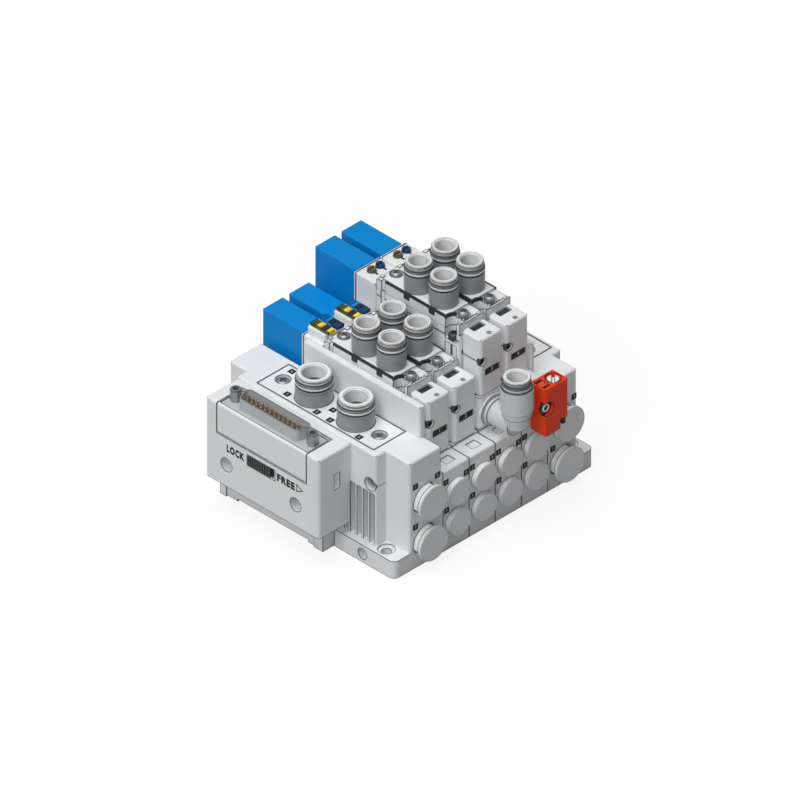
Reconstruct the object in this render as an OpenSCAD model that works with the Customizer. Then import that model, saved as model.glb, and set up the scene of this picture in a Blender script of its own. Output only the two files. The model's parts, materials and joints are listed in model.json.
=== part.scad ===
// Valve manifold: four solenoid valves on a stacking base between two end blocks.
// X runs along the stack, the port face looks along -Y, +Z is up.
// The origin is the centre of the four mounting holes, on the face that the base rests on.

/* [Stack] */
// Width of one valve station along the stack
station_pitch = 16; // [15.5:0.1:18]
// Gap that shows as the seam between two stacked blocks
seam = 0.15; // [0.05:0.05:0.3]
// Length of the connector end block, foot included
d_block_len = 30; // [29:0.5:36]
// Length of the far end block, foot included
u_block_len = 28.5; // [28:0.5:36]
// Depth of the base from the port face to the back
base_depth = 110.3; // [109:0.1:120]
// Height of the station blocks at their front ledge
block_h = 42; // [41:0.5:48]
// Step from the ledge up to the top of the blocks
seat_step = 1; // [0.8:0.1:3]
// Thickness of the gasket under a valve
gasket_t = 0.5; // [0.3:0.1:1]
// Depth of the ledge in front of the valves
ledge_depth = 10.3; // [8:0.1:12]

/* [End blocks] */
// Height of the end blocks
end_h = 56.6; // [54:0.1:64]
// Height of the mounting feet
foot_h = 9; // [6:0.5:12]
// Corner radius of the feet
foot_r = 3; // [1:0.5:4]
// Reach of the foot past the connector end block
d_foot_reach = 9.7; // [9.4:0.1:11]
// Reach of the foot past the far end block
u_foot_reach = 10.5; // [9.4:0.1:12]
// How far the middle wall of the connector end block stands out
d_wall_reach = 6.1; // [5.2:0.1:6.5]
// How far the middle wall of the far end block stands out
u_wall_reach = 5; // [4:0.1:6.5]
// How far the top of an end block stands back from the valves
end_setback = 1.5; // [0.8:0.1:2]
// Thickness of the upright guard beside the first valve
d_guard_t = 3.3; // [2:0.1:3.6]
// Thickness of the upright guard beside the last valve
u_guard_t = 2.2; // [1.6:0.1:3.6]
// Height of the guards above the end blocks
guard_h = 16.3; // [8:0.1:16.5]
// Length of the guards
guard_len = 71.5; // [60:0.5:72]
// Front step of the middle wall, from the port face
wall_y0 = 14.6; // [14:0.1:15.2]
// Back step of the middle wall, from the back of the block
wall_back = 10.3; // [9.5:0.1:10.5]
// Corner radius of the end blocks
block_r = 1.2; // [0.6:0.1:2]
// Edge radius round the top of moulded pieces
edge_r = 1; // [0.5:0.1:1.2]
// Thickness of one rib in the ribbed wall
rib_t = 1.2; // [0.8:0.1:2]
// Spacing of the ribs
rib_pitch = 3.9; // [3.4:0.1:5]
// Depth of the pockets between the ribs
rib_depth = 4; // [2:0.5:5]
// Height of the top of the ribs
rib_top = 35.8; // [30:0.1:36.2]

/* [Mounting holes] */
// Distance of a mounting hole from the end of its foot
mount_inset = 5.35; // [4.8:0.05:5.6]
// Distance of the front mounting holes from the port face
mount_y = 10; // [9:0.1:10.2]
// Distance of the back mounting holes from the back of the foot
mount_back = 5.3; // [4.8:0.1:5.6]
// Diameter of a mounting hole
mount_d = 4.5; // [3.5:0.1:5.5]
// Diameter of the seat round a mounting hole
mount_seat_d = 7.6; // [6.5:0.1:8]
// Depth of that seat
mount_seat_t = 1.2; // [0.5:0.1:3]

/* [Tie rods] */
// Diameter of a tie rod
rod_d = 4; // [3:0.1:4.6]
// Clearance round a rod or screw shank, on the diameter
shank_gap = 0.3; // [0.1:0.1:0.6]
// Diameter of a tie rod's head
rod_head_d = 6.2; // [5.4:0.1:6.3]
// Depth of the head's seat in the wall
rod_seat_t = 6; // [4:0.5:8]
// Height of the upper tie rods
rod_z = 40.1; // [39.9:0.1:40.4]
// Distance of the front tie rod from the port face
rod_y0 = 18.3; // [18.2:0.1:18.6]
// Distance of the back tie rod from the back of the base
rod_back = 18.3; // [17:0.1:20]
// Height of the lower tie rod
rod_low_z = 10; // [8:0.5:12]
// Distance of the lower tie rod from the port face
rod_low_y = 76; // [74:0.5:80]

/* [Front ports] */
// Height of the lower end block port
end_port_z = 11.85; // [11.5:0.05:12.5]
// Rise from the lower to the upper end block port
end_port_rise = 21.5; // [20.5:0.1:22]
// Distance of the ports from the inner face of the connector end block
d_port_inset = 10.15; // [9.6:0.05:10.6]
// Distance of the ports from the inner face of the far end block
u_port_inset = 9.5; // [9.2:0.1:10.5]
// Diameter of the bore for an end block port
end_bore_d = 15; // [13.5:0.1:15.4]
// Diameter of an end plug's head
end_plug_d = 17; // [16:0.1:17.8]
// Thickness of an end plug's head
end_plug_t = 2; // [1:0.1:3]
// Thickness of the collar behind an end plug's head
end_collar_t = 3; // [2:0.1:4]
// Height of the lower station port
station_port_z = 13.1; // [12:0.1:14]
// Rise from the lower to the upper station port
station_port_rise = 15.8; // [15.5:0.1:17]
// Diameter of the bore for a station port
station_bore_d = 11.5; // [10:0.1:12.5]
// Diameter of a station plug's head
station_plug_d = 13.4; // [12.8:0.1:14.6]
// Thickness of a station plug's head
station_plug_t = 3; // [2:0.1:4]
// Depth of the port bores
port_depth = 13; // [11:0.5:14]
// Wall of the socket in a port bore
socket_wall = 1.6; // [1:0.1:2]
// Gap between a plug's stem or a socket and its hole
plug_gap = 0.1; // [0.05:0.05:0.2]

/* [Air passages] */
// Diameter of the common galleries that run along the stack
gallery_d = 8; // [6:0.5:8]
// Distance of the supply gallery from the port face
supply_y = 34; // [32:0.5:36]
// Distance of the exhaust gallery from the port face
exhaust_y = 50; // [48:0.5:54]
// Diameter of the risers from the galleries to each valve
riser_d = 5; // [3:0.5:6]

/* [Top plates] */
// Distance of the connector end plate's centre from the end of the foot
d_plate_x = 16.1; // [15.8:0.1:17]
// Distance of the far end plate's centre from the end of the foot
u_plate_x = 16.2; // [15.8:0.1:16.6]
// Width of the plate with the supply fittings
d_plate_w = 19.2; // [18.6:0.1:19.4]
// Width of the blanking plate
u_plate_w = 17.4; // [14:0.1:17.8]
// Length of a top plate
plate_len = 71; // [66:0.5:74]
// Front edge of a top plate, from the port face
plate_y = 19; // [17:0.5:21]
// Thickness of a top plate
plate_t = 4; // [3:0.1:5]
// Gap round a top plate in its recess
plate_gap = 0.3; // [0.1:0.1:0.4]
// Distance of a plate screw from the plate's end
plate_screw_inset = 6; // [5:0.1:7]

/* [Tube fittings] */
// Bore of the supply fittings, for 10 mm tube
supply_tube_d = 10.4; // [10.2:0.1:10.6]
// Outer diameter of a supply fitting
supply_fit_d = 16.8; // [16.2:0.1:17.4]
// Height of a supply fitting above the end block
supply_fit_h = 13.4; // [12:0.1:18]
// Front supply fitting, from the port face
supply_fit_y = 39.4; // [38.5:0.1:42]
// Spacing of the two supply fittings
supply_fit_pitch = 25.7; // [22:0.1:28]
// Bore of the valve fittings, for 8 mm tube
valve_tube_d = 8.4; // [8.2:0.1:8.6]
// Outer diameter of a valve fitting
valve_fit_d = 13.25; // [12.8:0.05:14]
// Height of a valve fitting above its port block
valve_fit_h = 14.3; // [13:0.1:18]
// Distance of the front valve fitting behind the front cover
valve_fit_y = 17.5; // [17:0.1:19]
// Spacing of the two fittings of a valve
valve_fit_pitch = 15.3; // [14.5:0.1:17]
// Wall of a release bushing's neck
bushing_wall = 1.1; // [0.8:0.1:1.2]
// Radial running gap of the moving pieces in their bores
run_gap = 0.08; // [0.05:0.01:0.1]
// Travel of a release bushing
bushing_travel = 0.8; // [0.5:0.1:1]
// Thickness of a release bushing's ring
bushing_t = 1; // [0.8:0.1:1.3]

/* [Valves] */
// Width of a valve body
valve_w = 15.6; // [15:0.1:15.7]
// Height of a valve body
valve_h = 26.8; // [24:0.1:32]
// Length of a valve body from the front cover to the pilot adapter
valve_len = 51.5; // [50:0.1:54]
// Height of the body's parting line above the seat
parting_z = 23.5; // [21:0.1:23.8]
// Width of a front cover
cover_w = 13.3; // [12:0.1:14]
// Length of a front cover
cover_len = 11.7; // [10.5:0.1:13]
// Height of a front cover
cover_h = 29.5; // [27:0.1:31]
// Length of the pilot adapter
adapter_len = 13.5; // [13.2:0.1:15]
// Height of the pilot adapter
adapter_h = 29; // [28:0.1:31]
// Width of a pilot cover
pilot_w = 12.5; // [11:0.1:14]
// Length of a pilot cover
pilot_len = 25.5; // [20:0.1:32]
// Height of the top of a pilot cover above the seat
pilot_top = 28.8; // [26:0.1:30]
// Height of the underside of a pilot cover above the seat
pilot_bottom = 1.5; // [0.5:0.1:4]
// Width of a port block
port_w = 15; // [14.6:0.1:15.4]
// Height of a port block above the valve body
port_h = 6.1; // [5.4:0.1:8]
// Depth of the trough in front of the fittings
trough_t = 1.4; // [0.8:0.1:2]
// Length of the trough behind the front wall
trough_len = 7.8; // [7.2:0.1:8.2]
// Thickness of the front wall of a port block
front_wall_t = 1; // [0.8:0.1:1.6]
// Radius of the screw channel in the side of a valve
channel_r = 3.4; // [3:0.1:3.5]
// Height of the channel's floor above the seat
channel_z = 22; // [18:0.5:22.5]

/* [Manual overrides] */
// Height of the box that carries the slide overrides
override_h = 4.2; // [3:0.1:5]
// Width of a slide override
slide_w = 4.2; // [3.6:0.1:4.8]
// Length of a slide override
slide_len = 11; // [9:0.1:11.4]
// Spacing of the two slide overrides of a valve
slide_pitch = 5.7; // [5.4:0.1:6]
// Travel of a slide override
slide_travel = 3; // [2:0.1:3]
// Diameter of a push override
button_d = 4; // [3.4:0.1:4.4]
// Spacing of the two push overrides of a valve
button_pitch = 5.1; // [4.8:0.1:6]
// Travel of a push override
button_travel = 1.2; // [0.6:0.1:1.4]

/* [Spacers] */
// Height of the spacers under the raised valves
spacer_h = 17; // [15:0.1:20]
// Corner radius of the spacers
spacer_r = 2; // [1:0.1:3]
// Height of the elbow's barrel above the valve seat
elbow_z = 7.5; // [7:0.1:8]
// Distance of the elbow's leg in front of the port face
elbow_reach = 5.3; // [4.8:0.1:7]
// Outer diameter of the elbow's sleeve
elbow_sleeve_d = 14.8; // [13.6:0.1:15.2]
// Height of the elbow above its barrel's axis
elbow_h = 25; // [22:0.5:30]
// Diameter of the elbow's barrel
barrel_d = 12; // [11:0.1:13]
// Diameter of the elbow's spigot in the spacer
spigot_d = 10; // [9:0.1:10.4]
// Width of the stop valve's cover
stop_w = 14; // [13:0.1:14.4]
// Thickness of the stop valve's cover
stop_t = 9.8; // [9:0.1:12]
// Height of the stop valve's cover
stop_h = 24.4; // [22:0.1:28]
// Gap between the port face and the back of that cover
stop_gap = 4; // [3.6:0.1:6]
// Diameter of the stop valve's spindle
spindle_d = 6; // [5:0.1:6.6]

/* [Connector unit] */
// Reach of the connector housing from the wall of the end block
housing_reach = 19.9; // [19.7:0.1:23]
// Front side of the connector housing, from the port face
housing_y0 = 29.7; // [29:0.1:31]
// Width of the housing's wall behind the turning block
turn_end = 6.6; // [6.2:0.1:8.2]
// Height of the underside of the connector housing
housing_z = 14.8; // [12:0.1:16]
// Height of the connector housing
housing_h = 41.5; // [41:0.1:44]
// Corner radius of the connector housing
housing_r = 1.5; // [1:0.1:2.5]
// Side of the turning connector block
turn_side = 15.6; // [15.2:0.1:15.8]
// Rim of the turning block's opening round the connector's flange
turn_rim = 1.03; // [0.8:0.01:1.4]
// Start of that opening behind the housing's front side
turn_inset = 7.6; // [6.6:0.1:8.2]
// Gap between the turning block and the housing
turn_gap = 0.25; // [0.15:0.05:0.4]
// Radius on the long edges of the turning block
turn_r = 1.2; // [0.8:0.1:2]
// Diameter of the turning block's pivots
pivot_d = 6; // [5:0.1:7]
// Length of a pivot
pivot_len = 3; // [2:0.1:3.4]
// Height of the slide lock above the housing's underside
lock_z = 17.7; // [17:0.1:18]
// Height of the slide lock's window
lock_h = 5.6; // [5:0.1:5.8]
// Length of the slide lock's window
lock_window = 17.4; // [16:0.1:19]
// Start of the window behind the housing's front side
lock_inset = 26.6; // [25:0.1:28]
// Travel of the slide lock
lock_travel = 3.4; // [2:0.1:4]
// Depth of the slide lock's window
lock_depth = 3; // [2.4:0.1:3]
// Reach of the rail bracket past the foot
bracket_reach = 5.9; // [4:0.1:8]
// Distance of the rail bracket's back end from the back of the base
bracket_back = 10.6; // [10.4:0.1:15]
// Front side of the rail bracket, from the port face
bracket_y = 36.8; // [36.4:0.1:38]

/* [Multi-pole connector] */
// Length of the connector's flange
flange_len = 53.04; // [52.5:0.01:53.4]
// Width of the connector's flange
flange_w = 12.55; // [12.2:0.01:12.8]
// Thickness of the connector's flange
flange_t = 0.8; // [0.5:0.1:1.2]
// Distance of the connector's shell from each end of the flange
shell_inset = 7.04; // [6.6:0.01:7.3]
// Width of the connector's shell
shell_w = 8.4; // [8:0.01:9]
// Height of the shell above the flange
shell_h = 5.9; // [5:0.1:7]
// Wall of the shell
shell_wall = 0.5; // [0.3:0.1:0.6]
// Distance of a jack screw from the end of the flange
jack_inset = 3; // [2.9:0.01:3.2]
// Distance of the last pin from the end of the shell
pin_inset = 2.86; // [2.7:0.01:3.4]
// Spacing of the two rows of pins
row_pitch = 2.84; // [2.6:0.01:3]
// Diameter of a pin
pin_d = 1; // [0.8:0.05:1.2]

/* [Hidden] */
$fn = 64;

// Colours of the real materials
SHELL_GREY = "#dcdfe0";
VALVE_GREY = "#d6d9db";
FITTING_GREY = "#85898c";
RING_GREY = "#e8eaea";
PILOT_BLUE = "#0a7cc4";
STEEL = "#a9adb0";
CLIP_BLACK = "#26282a";
SIGNAL_YELLOW = "#f2d61e";
STOP_ORANGE = "#dd4321";
GOLD = "#c89b4a";

// Overshoot of every cut past the face that it opens
cut = 1;
stations = 4;
raised_from = 2;
stack_len = stations * station_pitch;
overall_len = d_block_len + stack_len + u_block_len;
u_joint_x = d_block_len + stack_len;
block_top = block_h + seat_step;
seat_z = block_top + gasket_t;
wall_x = d_foot_reach - d_wall_reach;
supply_z = end_port_z + end_port_rise;

wall_y1 = base_depth - wall_back;
mount_spacing = base_depth - mount_y - mount_back;
rod_y1 = base_depth - rod_back;
guard_gap = 0.3;
guard_y = ledge_depth + 0.2;
rod_places = [[rod_y0, rod_z], [rod_y1, rod_z], [rod_low_y, rod_low_z]];

// Stations of a valve from front to back, measured from the port face
cover_y = ledge_depth;
body_y = cover_y + cover_len;
adapter_y = body_y + valve_len;
pilot_y = adapter_y + adapter_len;
fit_ys = [body_y + valve_fit_y, body_y + valve_fit_y + valve_fit_pitch];
supply_ys = [supply_fit_y, supply_fit_y + supply_fit_pitch];
plate_screw_ys = [plate_y + plate_screw_inset, plate_y + plate_len - plate_screw_inset];

// Heights above a valve's seat
port_top = valve_h + port_h;
trough_z = port_top - trough_t;
fit_top = port_top + valve_fit_h;
front_wall_top = port_top - 0.8;
plate_y0 = body_y + front_wall_t + trough_len;
plate_y1 = adapter_y - 1.5;
screw_ys = [body_y + 5.4, adapter_y - 5];
channel_x = -valve_w / 2 + 2.2;
channel_y = body_y + 5.6;
clip_rim = 0.7;
lug_w = 2.3;
lug_len = 1.8;
front_lug_xs = [-5.1, 5.1];
back_lug_xs = [-6, 4.6];
lug_rise = 0.3;
well_w = 7.2;
well_depth = 2.4;
side_groove = [adapter_y - 5.5, adapter_y - 3.3];
cover_screw_z = 17.7;
cover_screw_x = -cover_w / 2 + 1.4;
cover_screw_d = 1.8;

// Screws
valve_screw_d = 2.9;
valve_head_d = 5;
valve_head_t = 3.1;
valve_head_seat = 2;
seat_gap = 1;
screw_reach = 8;
small_screw_d = 2.4;
small_head_d = 3.6;
small_head_t = 1.4;
plate_screw_d = 3.4;
plate_head_d = 6;
plate_head_t = 2.2;
head_gap = 0.4;
recess_w = 0.8;
side_head_t = 3;
rod_grip = 4;
rod_nut_t = 3;
rod_key_w = 3.4;
rod_key_t = 2;

// Push-in fittings, measured down from the top of the release bushing
bushing_reach = 7;
tube_seat = 9.5;
rim_step = 0.3;
rim_gap = 0.2;
mouth_w = 0.5;
mouth_t = 0.6;
ring_step = 1.2;
foot_step = 2.2;

// Slide overrides: a cap over a box, with a neck in a slot
box_x0 = -6;
box_x1 = 5.8;
box_y0 = adapter_y + 0.2;
box_y1 = adapter_y + 11.9;
slide_mid_x = -0.15;
slide_gap = 0.1;
slide_t = 1.5;
neck_w = 2.2;
neck_len = 4.4;
neck_h = 2.6;
neck_y = box_y0 + 2.3;

// Push overrides
button_mid_x = 0.45;
button_y = adapter_y + 8;
button_h = 5;
button_proud = 1.5;
button_gap = 0.05;
strip_y = pilot_y - 1.5;

// Turning connector block, which turns about a line along Y
turn_len = flange_len + 2 * turn_rim;
housing_w = turn_inset + turn_len + turn_end;
housing_x = wall_x - housing_reach;
housing_y1 = housing_y0 + housing_w;
housing_top = housing_z + housing_h;
turn_x = housing_x + turn_side / 2;
turn_z = housing_top - turn_side / 2;
turn_y0 = housing_y0 + turn_inset;
turn_y1 = turn_y0 + turn_len;
turn_sweep = (turn_side / 2 - turn_r) * sqrt(2) + turn_r;
turn_cavity_r = turn_sweep + turn_gap;
panel_y = (turn_y0 + turn_y1) / 2;
flange_gap = 0.15;
flange_z = housing_top - flange_t - 0.2;
insulator_h = 1.4;
shell_r = 2.4;
shell_slant = 1.2;
jack_pitch = flange_len - 2 * jack_inset;
shell_len = flange_len - 2 * shell_inset;
pin_pitch = (shell_len - 2 * pin_inset) / 12;
pin_tip = 0.8;
jack_flat = 4.8;
jack_screw_d = 3;
jack_hole_d = 2.8;
jack_hole_t = 5;
housing_screw_d = 3.6;
housing_hole_d = 6.8;
housing_screw_z = housing_z + 11.5;
housing_screw_ys = [turn_y0 + 6.7, turn_y1 - 6.1];
housing_seat = 4.6;
latch_x = 7.1;
latch_w = 3.4;
latch_drop = 11.9;
latch_h = 8;
latch_depth = 3;

// Rail bracket and its end tabs
bracket_len = base_depth - bracket_y - bracket_back;
bracket_tab_t = 0.9;
bracket_tabs = [[0, 5.5], [bracket_len - 3.9, bracket_len]];

// Slide lock
lock_z0 = housing_z + lock_z;
lock_y0 = housing_y0 + lock_inset;
lock_y1 = lock_y0 + lock_window;
lock_gap = 0.15;
lock_lip = 1;
lock_skin = 1.2;

// Elbow and stop valve
elbow_x = station_x(2);
elbow_axis_z = seat_z + elbow_z;
spacer_y = ledge_depth - 0.3;
boss_d = 16;
boss_t = 1;
spigot_len = 8;
stop_x = station_x(3);
stop_y1 = -stop_gap;
stop_y0 = stop_y1 - stop_t;
stop_z0 = seat_z - 0.1;
stop_top = stop_z0 + stop_h;
spindle_x = stop_x + 2.4;
spindle_y = stop_y1 - 5;
spindle_h = 7.5;
spindle_recess = 0.4;
notch_w = 5;
notch_h = 4.6;
window_x = 1.7;
window_z = 13.9;
window_d = 7;
window_t = 2.75;
sleeve_rise = 7.7;
sleeve_drop = 5;
sleeve_step = 1.6;
sleeve_edge = 0.6;
barrel_band = 2;
barrel_step = 1.2;

// Lock clip of a port block, and the seat of the valve screws
clip_t = 0.8;
tab_h = 3;
screw_seat = port_top - valve_head_seat;
fitting_foot_z = end_h - plate_t - 9;

function station_x(i) = d_block_len + (i + 0.5) * station_pitch;
function raise(i) = i < raised_from ? 0 : spacer_h;

// Moves bench coordinates, which start at the corner of the foot, to the mounting holes' centre
module placed() translate([-overall_len / 2, -(mount_y + mount_spacing / 2), 0]) children();

// Moves to the seat of one valve, with X measured from the middle of its station
module at_valve(i) placed() translate([station_x(i), 0, seat_z + raise(i)]) children();

module box(lo, hi) translate(lo) cube(hi - lo);
module rod_x(at, d, len) translate(at) rotate([0, 90, 0]) cylinder(d = d, h = len);
module rod_y(at, d, len) translate(at) rotate([-90, 0, 0]) cylinder(d = d, h = len);
module rod_z(at, d, len) translate(at) cylinder(d = d, h = len);

// Outline round circles at convex corner points, given anticlockwise
module rounded_outline(centres, r) {
    count = len(centres);
    polygon([for (i = [0 : count - 1])
        let (a = centres[i], b = centres[(i + 1) % count], d = (b - a) / norm(b - a),
            side = [d.y, -d.x] * r)
        each [a + side, b + side]]);
    for (c = centres) translate(c) circle(r);
}

module round_rect(lo, hi, r)
    rounded_outline([[lo.x + r, lo.y + r], [hi.x - r, lo.y + r], [hi.x - r, hi.y - r],
        [lo.x + r, hi.y - r]], r);

module arched_rect(lo, hi, r) {
    round_rect(lo, hi, r);
    translate(lo) square([hi.x - lo.x, (hi.y - lo.y) / 2]);
}

// Block with rounded upright corners and a rounded rim, as it comes out of a mould
module soft_block(lo, hi, corner = block_r, edge = edge_r) {
    intersection() {
        translate([0, 0, lo.z]) linear_extrude(hi.z - lo.z)
            round_rect([lo.x, lo.y], [hi.x, hi.y], corner);
        translate([0, hi.y, 0]) rotate([90, 0, 0]) linear_extrude(hi.y - lo.y)
            arched_rect([lo.x, lo.z], [hi.x, hi.z], edge);
        translate([lo.x, 0, 0]) rotate([90, 0, 90]) linear_extrude(hi.x - lo.x)
            arched_rect([lo.y, lo.z], [hi.y, hi.z], edge);
    }
}

// Cross recess in the top of a screw head
module cross_recess(size) {
    for (turn = [0, 90]) rotate(turn) translate([-size / 2, -recess_w / 2, -recess_w])
        cube([size, recess_w, cut + recess_w]);
}

// Screw with its head's underside at the origin and its shank along -Z
module screw(head_d, head_t, shank_d, shank_len) difference() {
    rotate_extrude() polygon([[0, -shank_len], [shank_d / 2, -shank_len], [shank_d / 2, 0],
        [head_d / 2, 0],
        [head_d / 2, head_t * 0.6], [head_d * 0.44, head_t * 0.86], [head_d * 0.32, head_t],
            [0, head_t]]);
    translate([0, 0, head_t]) cross_recess(head_d * 0.56);
}

// End blocks

// One end block, standing with the end of its foot at X = 0 and its inner face at X = len
module end_block_form(len, foot_reach, wall_reach, port_inset, plate_x, plate_w, guard_t, rib_end) {
    side_x = foot_reach - wall_reach;
    port_x = len - port_inset;
    guard_x = len - guard_gap - guard_t;
    difference() {
        union() {
            difference() {
                intersection() {
                    union() {
                        linear_extrude(foot_h) round_rect([0, 0], [len + foot_r, base_depth], foot_r);
                        soft_block([foot_reach, 0, 0], [len + block_r + edge_r, base_depth, end_h]);
                        soft_block([side_x, wall_y0, 0], [len + block_r + edge_r, wall_y1, end_h]);
                    }
                    box([0, 0, 0], [len, base_depth, end_h]);
                }
                box([len - end_setback, -cut, block_h], [len + cut, base_depth + cut, end_h + cut]);
            }
            // Upright guard that shields the side of the end valve
            soft_block([guard_x, guard_y, block_h - cut],
                [len - guard_gap, guard_y + guard_len, end_h + guard_h], corner = 0.8, edge = 0.8);
        }
        for (y = [wall_y0 + rib_t : rib_pitch : rib_end - rib_pitch])
            box([side_x - cut, y, foot_h], [side_x + rib_depth, y + rib_pitch - rib_t, rib_top]);
        for (y = [mount_y, mount_y + mount_spacing]) {
            rod_z([mount_inset, y, -cut], mount_d, foot_h + 2 * cut);
            rod_z([mount_inset, y, foot_h - mount_seat_t], mount_seat_d, mount_seat_t + cut);
        }
        for (z = [end_port_z, supply_z]) rod_y([port_x, -cut, z], end_bore_d, port_depth + cut);
        rod_y([port_x, port_depth - cut, supply_z], gallery_d, supply_y - port_depth + cut);
        rod_y([port_x, port_depth - cut, end_port_z], gallery_d, exhaust_y - port_depth + cut);
        rod_x([port_x, supply_y, supply_z], gallery_d, port_inset + cut);
        rod_x([port_x, exhaust_y, end_port_z], gallery_d, port_inset + cut);
        for (p = rod_places) {
            rod_x([-cut, p.x, p.y], rod_d + shank_gap, len + 2 * cut);
            rod_x([-cut, p.x, p.y], rod_head_d + head_gap, side_x + rod_seat_t + cut);
        }
        box([plate_x - plate_w / 2 - plate_gap, plate_y - plate_gap, end_h - plate_t],
            [plate_x + plate_w / 2 + plate_gap, plate_y + plate_len + plate_gap, end_h + cut]);
        for (y = plate_screw_ys)
            rod_z([plate_x, y, end_h - plate_t - screw_reach], plate_screw_d + shank_gap,
                screw_reach + cut);
    }
}

module d_end_block() placed() color(SHELL_GREY) difference() {
    end_block_form(d_block_len, d_foot_reach, d_wall_reach, d_port_inset, d_plate_x, d_plate_w,
        d_guard_t, bracket_y);
    // Room in the foot for the rail bracket
    box([-cut, bracket_y - shank_gap, -cut], [wall_x, bracket_y + bracket_len + shank_gap, foot_h + cut]);
    // Bores for the two supply fittings, and their passages down to the galleries
    for (y = supply_ys)
        rod_z([d_plate_x, y, fitting_foot_z], supply_fit_d + 2 * run_gap, end_h);
    rod_z([d_plate_x, supply_ys[0], supply_z - gallery_d / 2], gallery_d, end_h - supply_z);
    rod_z([d_plate_x, supply_ys[1], end_port_z], gallery_d, end_h - end_port_z - plate_t);
    rod_y([d_plate_x, exhaust_y, end_port_z], gallery_d, supply_ys[1] - exhaust_y);
    rod_x([d_plate_x, exhaust_y, end_port_z], gallery_d, d_block_len - d_port_inset - d_plate_x);
    // Holes for the screws of the connector housing, and the side hole of the foot
    for (y = housing_screw_ys)
        rod_x([wall_x - cut, y, housing_screw_z], housing_screw_d + shank_gap, screw_reach + cut);
    rod_x([-cut, rod_y0 + 1, foot_h / 2], foot_h * 0.6, 12 + cut);
}

module u_end_block() placed() color(SHELL_GREY) translate([overall_len, 0, 0]) mirror([1, 0, 0])
    end_block_form(u_block_len, u_foot_reach, u_wall_reach, u_port_inset, u_plate_x, u_plate_w,
        u_guard_t, wall_y1);

// Top plate, screwed into the recess of an end block
module top_plate(x, plate_w, fit_bores) placed() color(SHELL_GREY) difference() {
    box([x - plate_w / 2, plate_y, end_h - plate_t], [x + plate_w / 2, plate_y + plate_len, end_h]);
    for (y = fit_bores) rod_z([x, y, 0], supply_fit_d + 2 * run_gap, end_h + cut);
    for (y = plate_screw_ys) {
        rod_z([x, y, 0], plate_screw_d + shank_gap, end_h + cut);
        rod_z([x, y, end_h - plate_head_t], plate_head_d + seat_gap, plate_head_t + cut);
    }
}

module supply_port_plate() top_plate(d_plate_x, d_plate_w, supply_ys);
module blanking_plate() top_plate(overall_len - u_plate_x, u_plate_w, []);

// Station blocks

module block_profile() {
    translate([edge_r, 0]) square([base_depth - edge_r, block_h]);
    square([base_depth, block_h - edge_r]);
    translate([edge_r, block_h - edge_r]) circle(edge_r);
    translate([ledge_depth, 0]) square([base_depth - ledge_depth, block_top]);
}

module manifold_block(i) placed() color(SHELL_GREY) {
    mid = station_x(i);
    width = station_pitch - seam;
    difference() {
        translate([mid - width / 2, 0, 0]) rotate([90, 0, 90]) linear_extrude(width) block_profile();
        for (z = [station_port_z, station_port_z + station_port_rise]) {
            rod_y([mid, -cut, z], station_bore_d, port_depth + cut);
            rod_y([mid, port_depth - cut, z], riser_d, 6);
        }
        rod_x([mid - width, supply_y, supply_z], gallery_d, 2 * width);
        rod_x([mid - width, exhaust_y, end_port_z], gallery_d, 2 * width);
        rod_z([mid, supply_y, supply_z], riser_d, seat_z);
        rod_z([mid, exhaust_y, end_port_z], riser_d, seat_z);
        for (p = rod_places) rod_x([mid - width, p.x, p.y], rod_d + shank_gap, 2 * width);
        for (y = screw_ys)
            rod_z([mid, y, seat_z - screw_reach - cut], valve_screw_d + shank_gap, screw_reach + 2 * cut);
        // Pocket in the ledge
        box([mid - 2.2, 3.6, block_h - 1], [mid + 3, 8.1, block_h + cut]);
    }
}

module manifold_block_1() manifold_block(0);
module manifold_block_2() manifold_block(1);
module manifold_block_3() manifold_block(2);
module manifold_block_4() manifold_block(3);

// Sockets and blanking plugs of the front ports

module at_end_ports() for (x = [d_block_len - d_port_inset, u_joint_x + u_port_inset],
    z = [end_port_z, supply_z])
    translate([x, 0, z]) rotate([-90, 0, 0]) children();

module at_station_ports() for (i = [0 : stations - 1], z = [0, station_port_rise])
    translate([station_x(i), 0, station_port_z + z]) rotate([-90, 0, 0]) children();

// Sleeve in a port bore, along +Z from the port face, with a collar standing out by collar_t
module socket(bore_d, collar_d, collar_t) difference() {
    union() {
        cylinder(d = bore_d - 2 * plug_gap, h = port_depth);
        if (collar_t > 0) translate([0, 0, -collar_t]) cylinder(d = collar_d, h = collar_t);
    }
    translate([0, 0, -collar_t - cut])
        cylinder(d = bore_d - 2 * socket_wall, h = port_depth + collar_t + 2 * cut);
}

module port_sockets() placed() color(RING_GREY) {
    at_end_ports() difference() {
        socket(end_bore_d, end_plug_d - 0.8, end_collar_t);
        // Three slots in the rim of the collar
        for (turn = [45 : 120 : 285]) rotate(turn)
            box([end_plug_d / 2 - 1.2, -0.45, -end_collar_t - cut], [end_plug_d, 0.45, -0.4]);
    }
    at_station_ports() socket(station_bore_d, station_bore_d, 0);
}

// Plug with a dished head in front of the port and a stem in the socket
module plug(head_d, head_t, front_z, bore_d) rotate_extrude() polygon([
    [0, front_z], [head_d / 2 - 0.3, front_z], [head_d / 2, front_z + 0.3],
        [head_d / 2, front_z + head_t],
    [bore_d / 2 - socket_wall - plug_gap, front_z + head_t],
        [bore_d / 2 - socket_wall - plug_gap, port_depth - 1.5],
    [bore_d / 2 - socket_wall - 1, port_depth - 0.5], [0, port_depth - 0.5]]);

module blanking_plugs() placed() color(FITTING_GREY) {
    at_end_ports() plug(end_plug_d, end_plug_t, -end_collar_t - end_plug_t, end_bore_d);
    at_station_ports() plug(station_plug_d, station_plug_t, -station_plug_t, station_bore_d);
}

// Push-in tube fittings: a turned body and a release bushing that is pressed to free the tube

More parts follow.
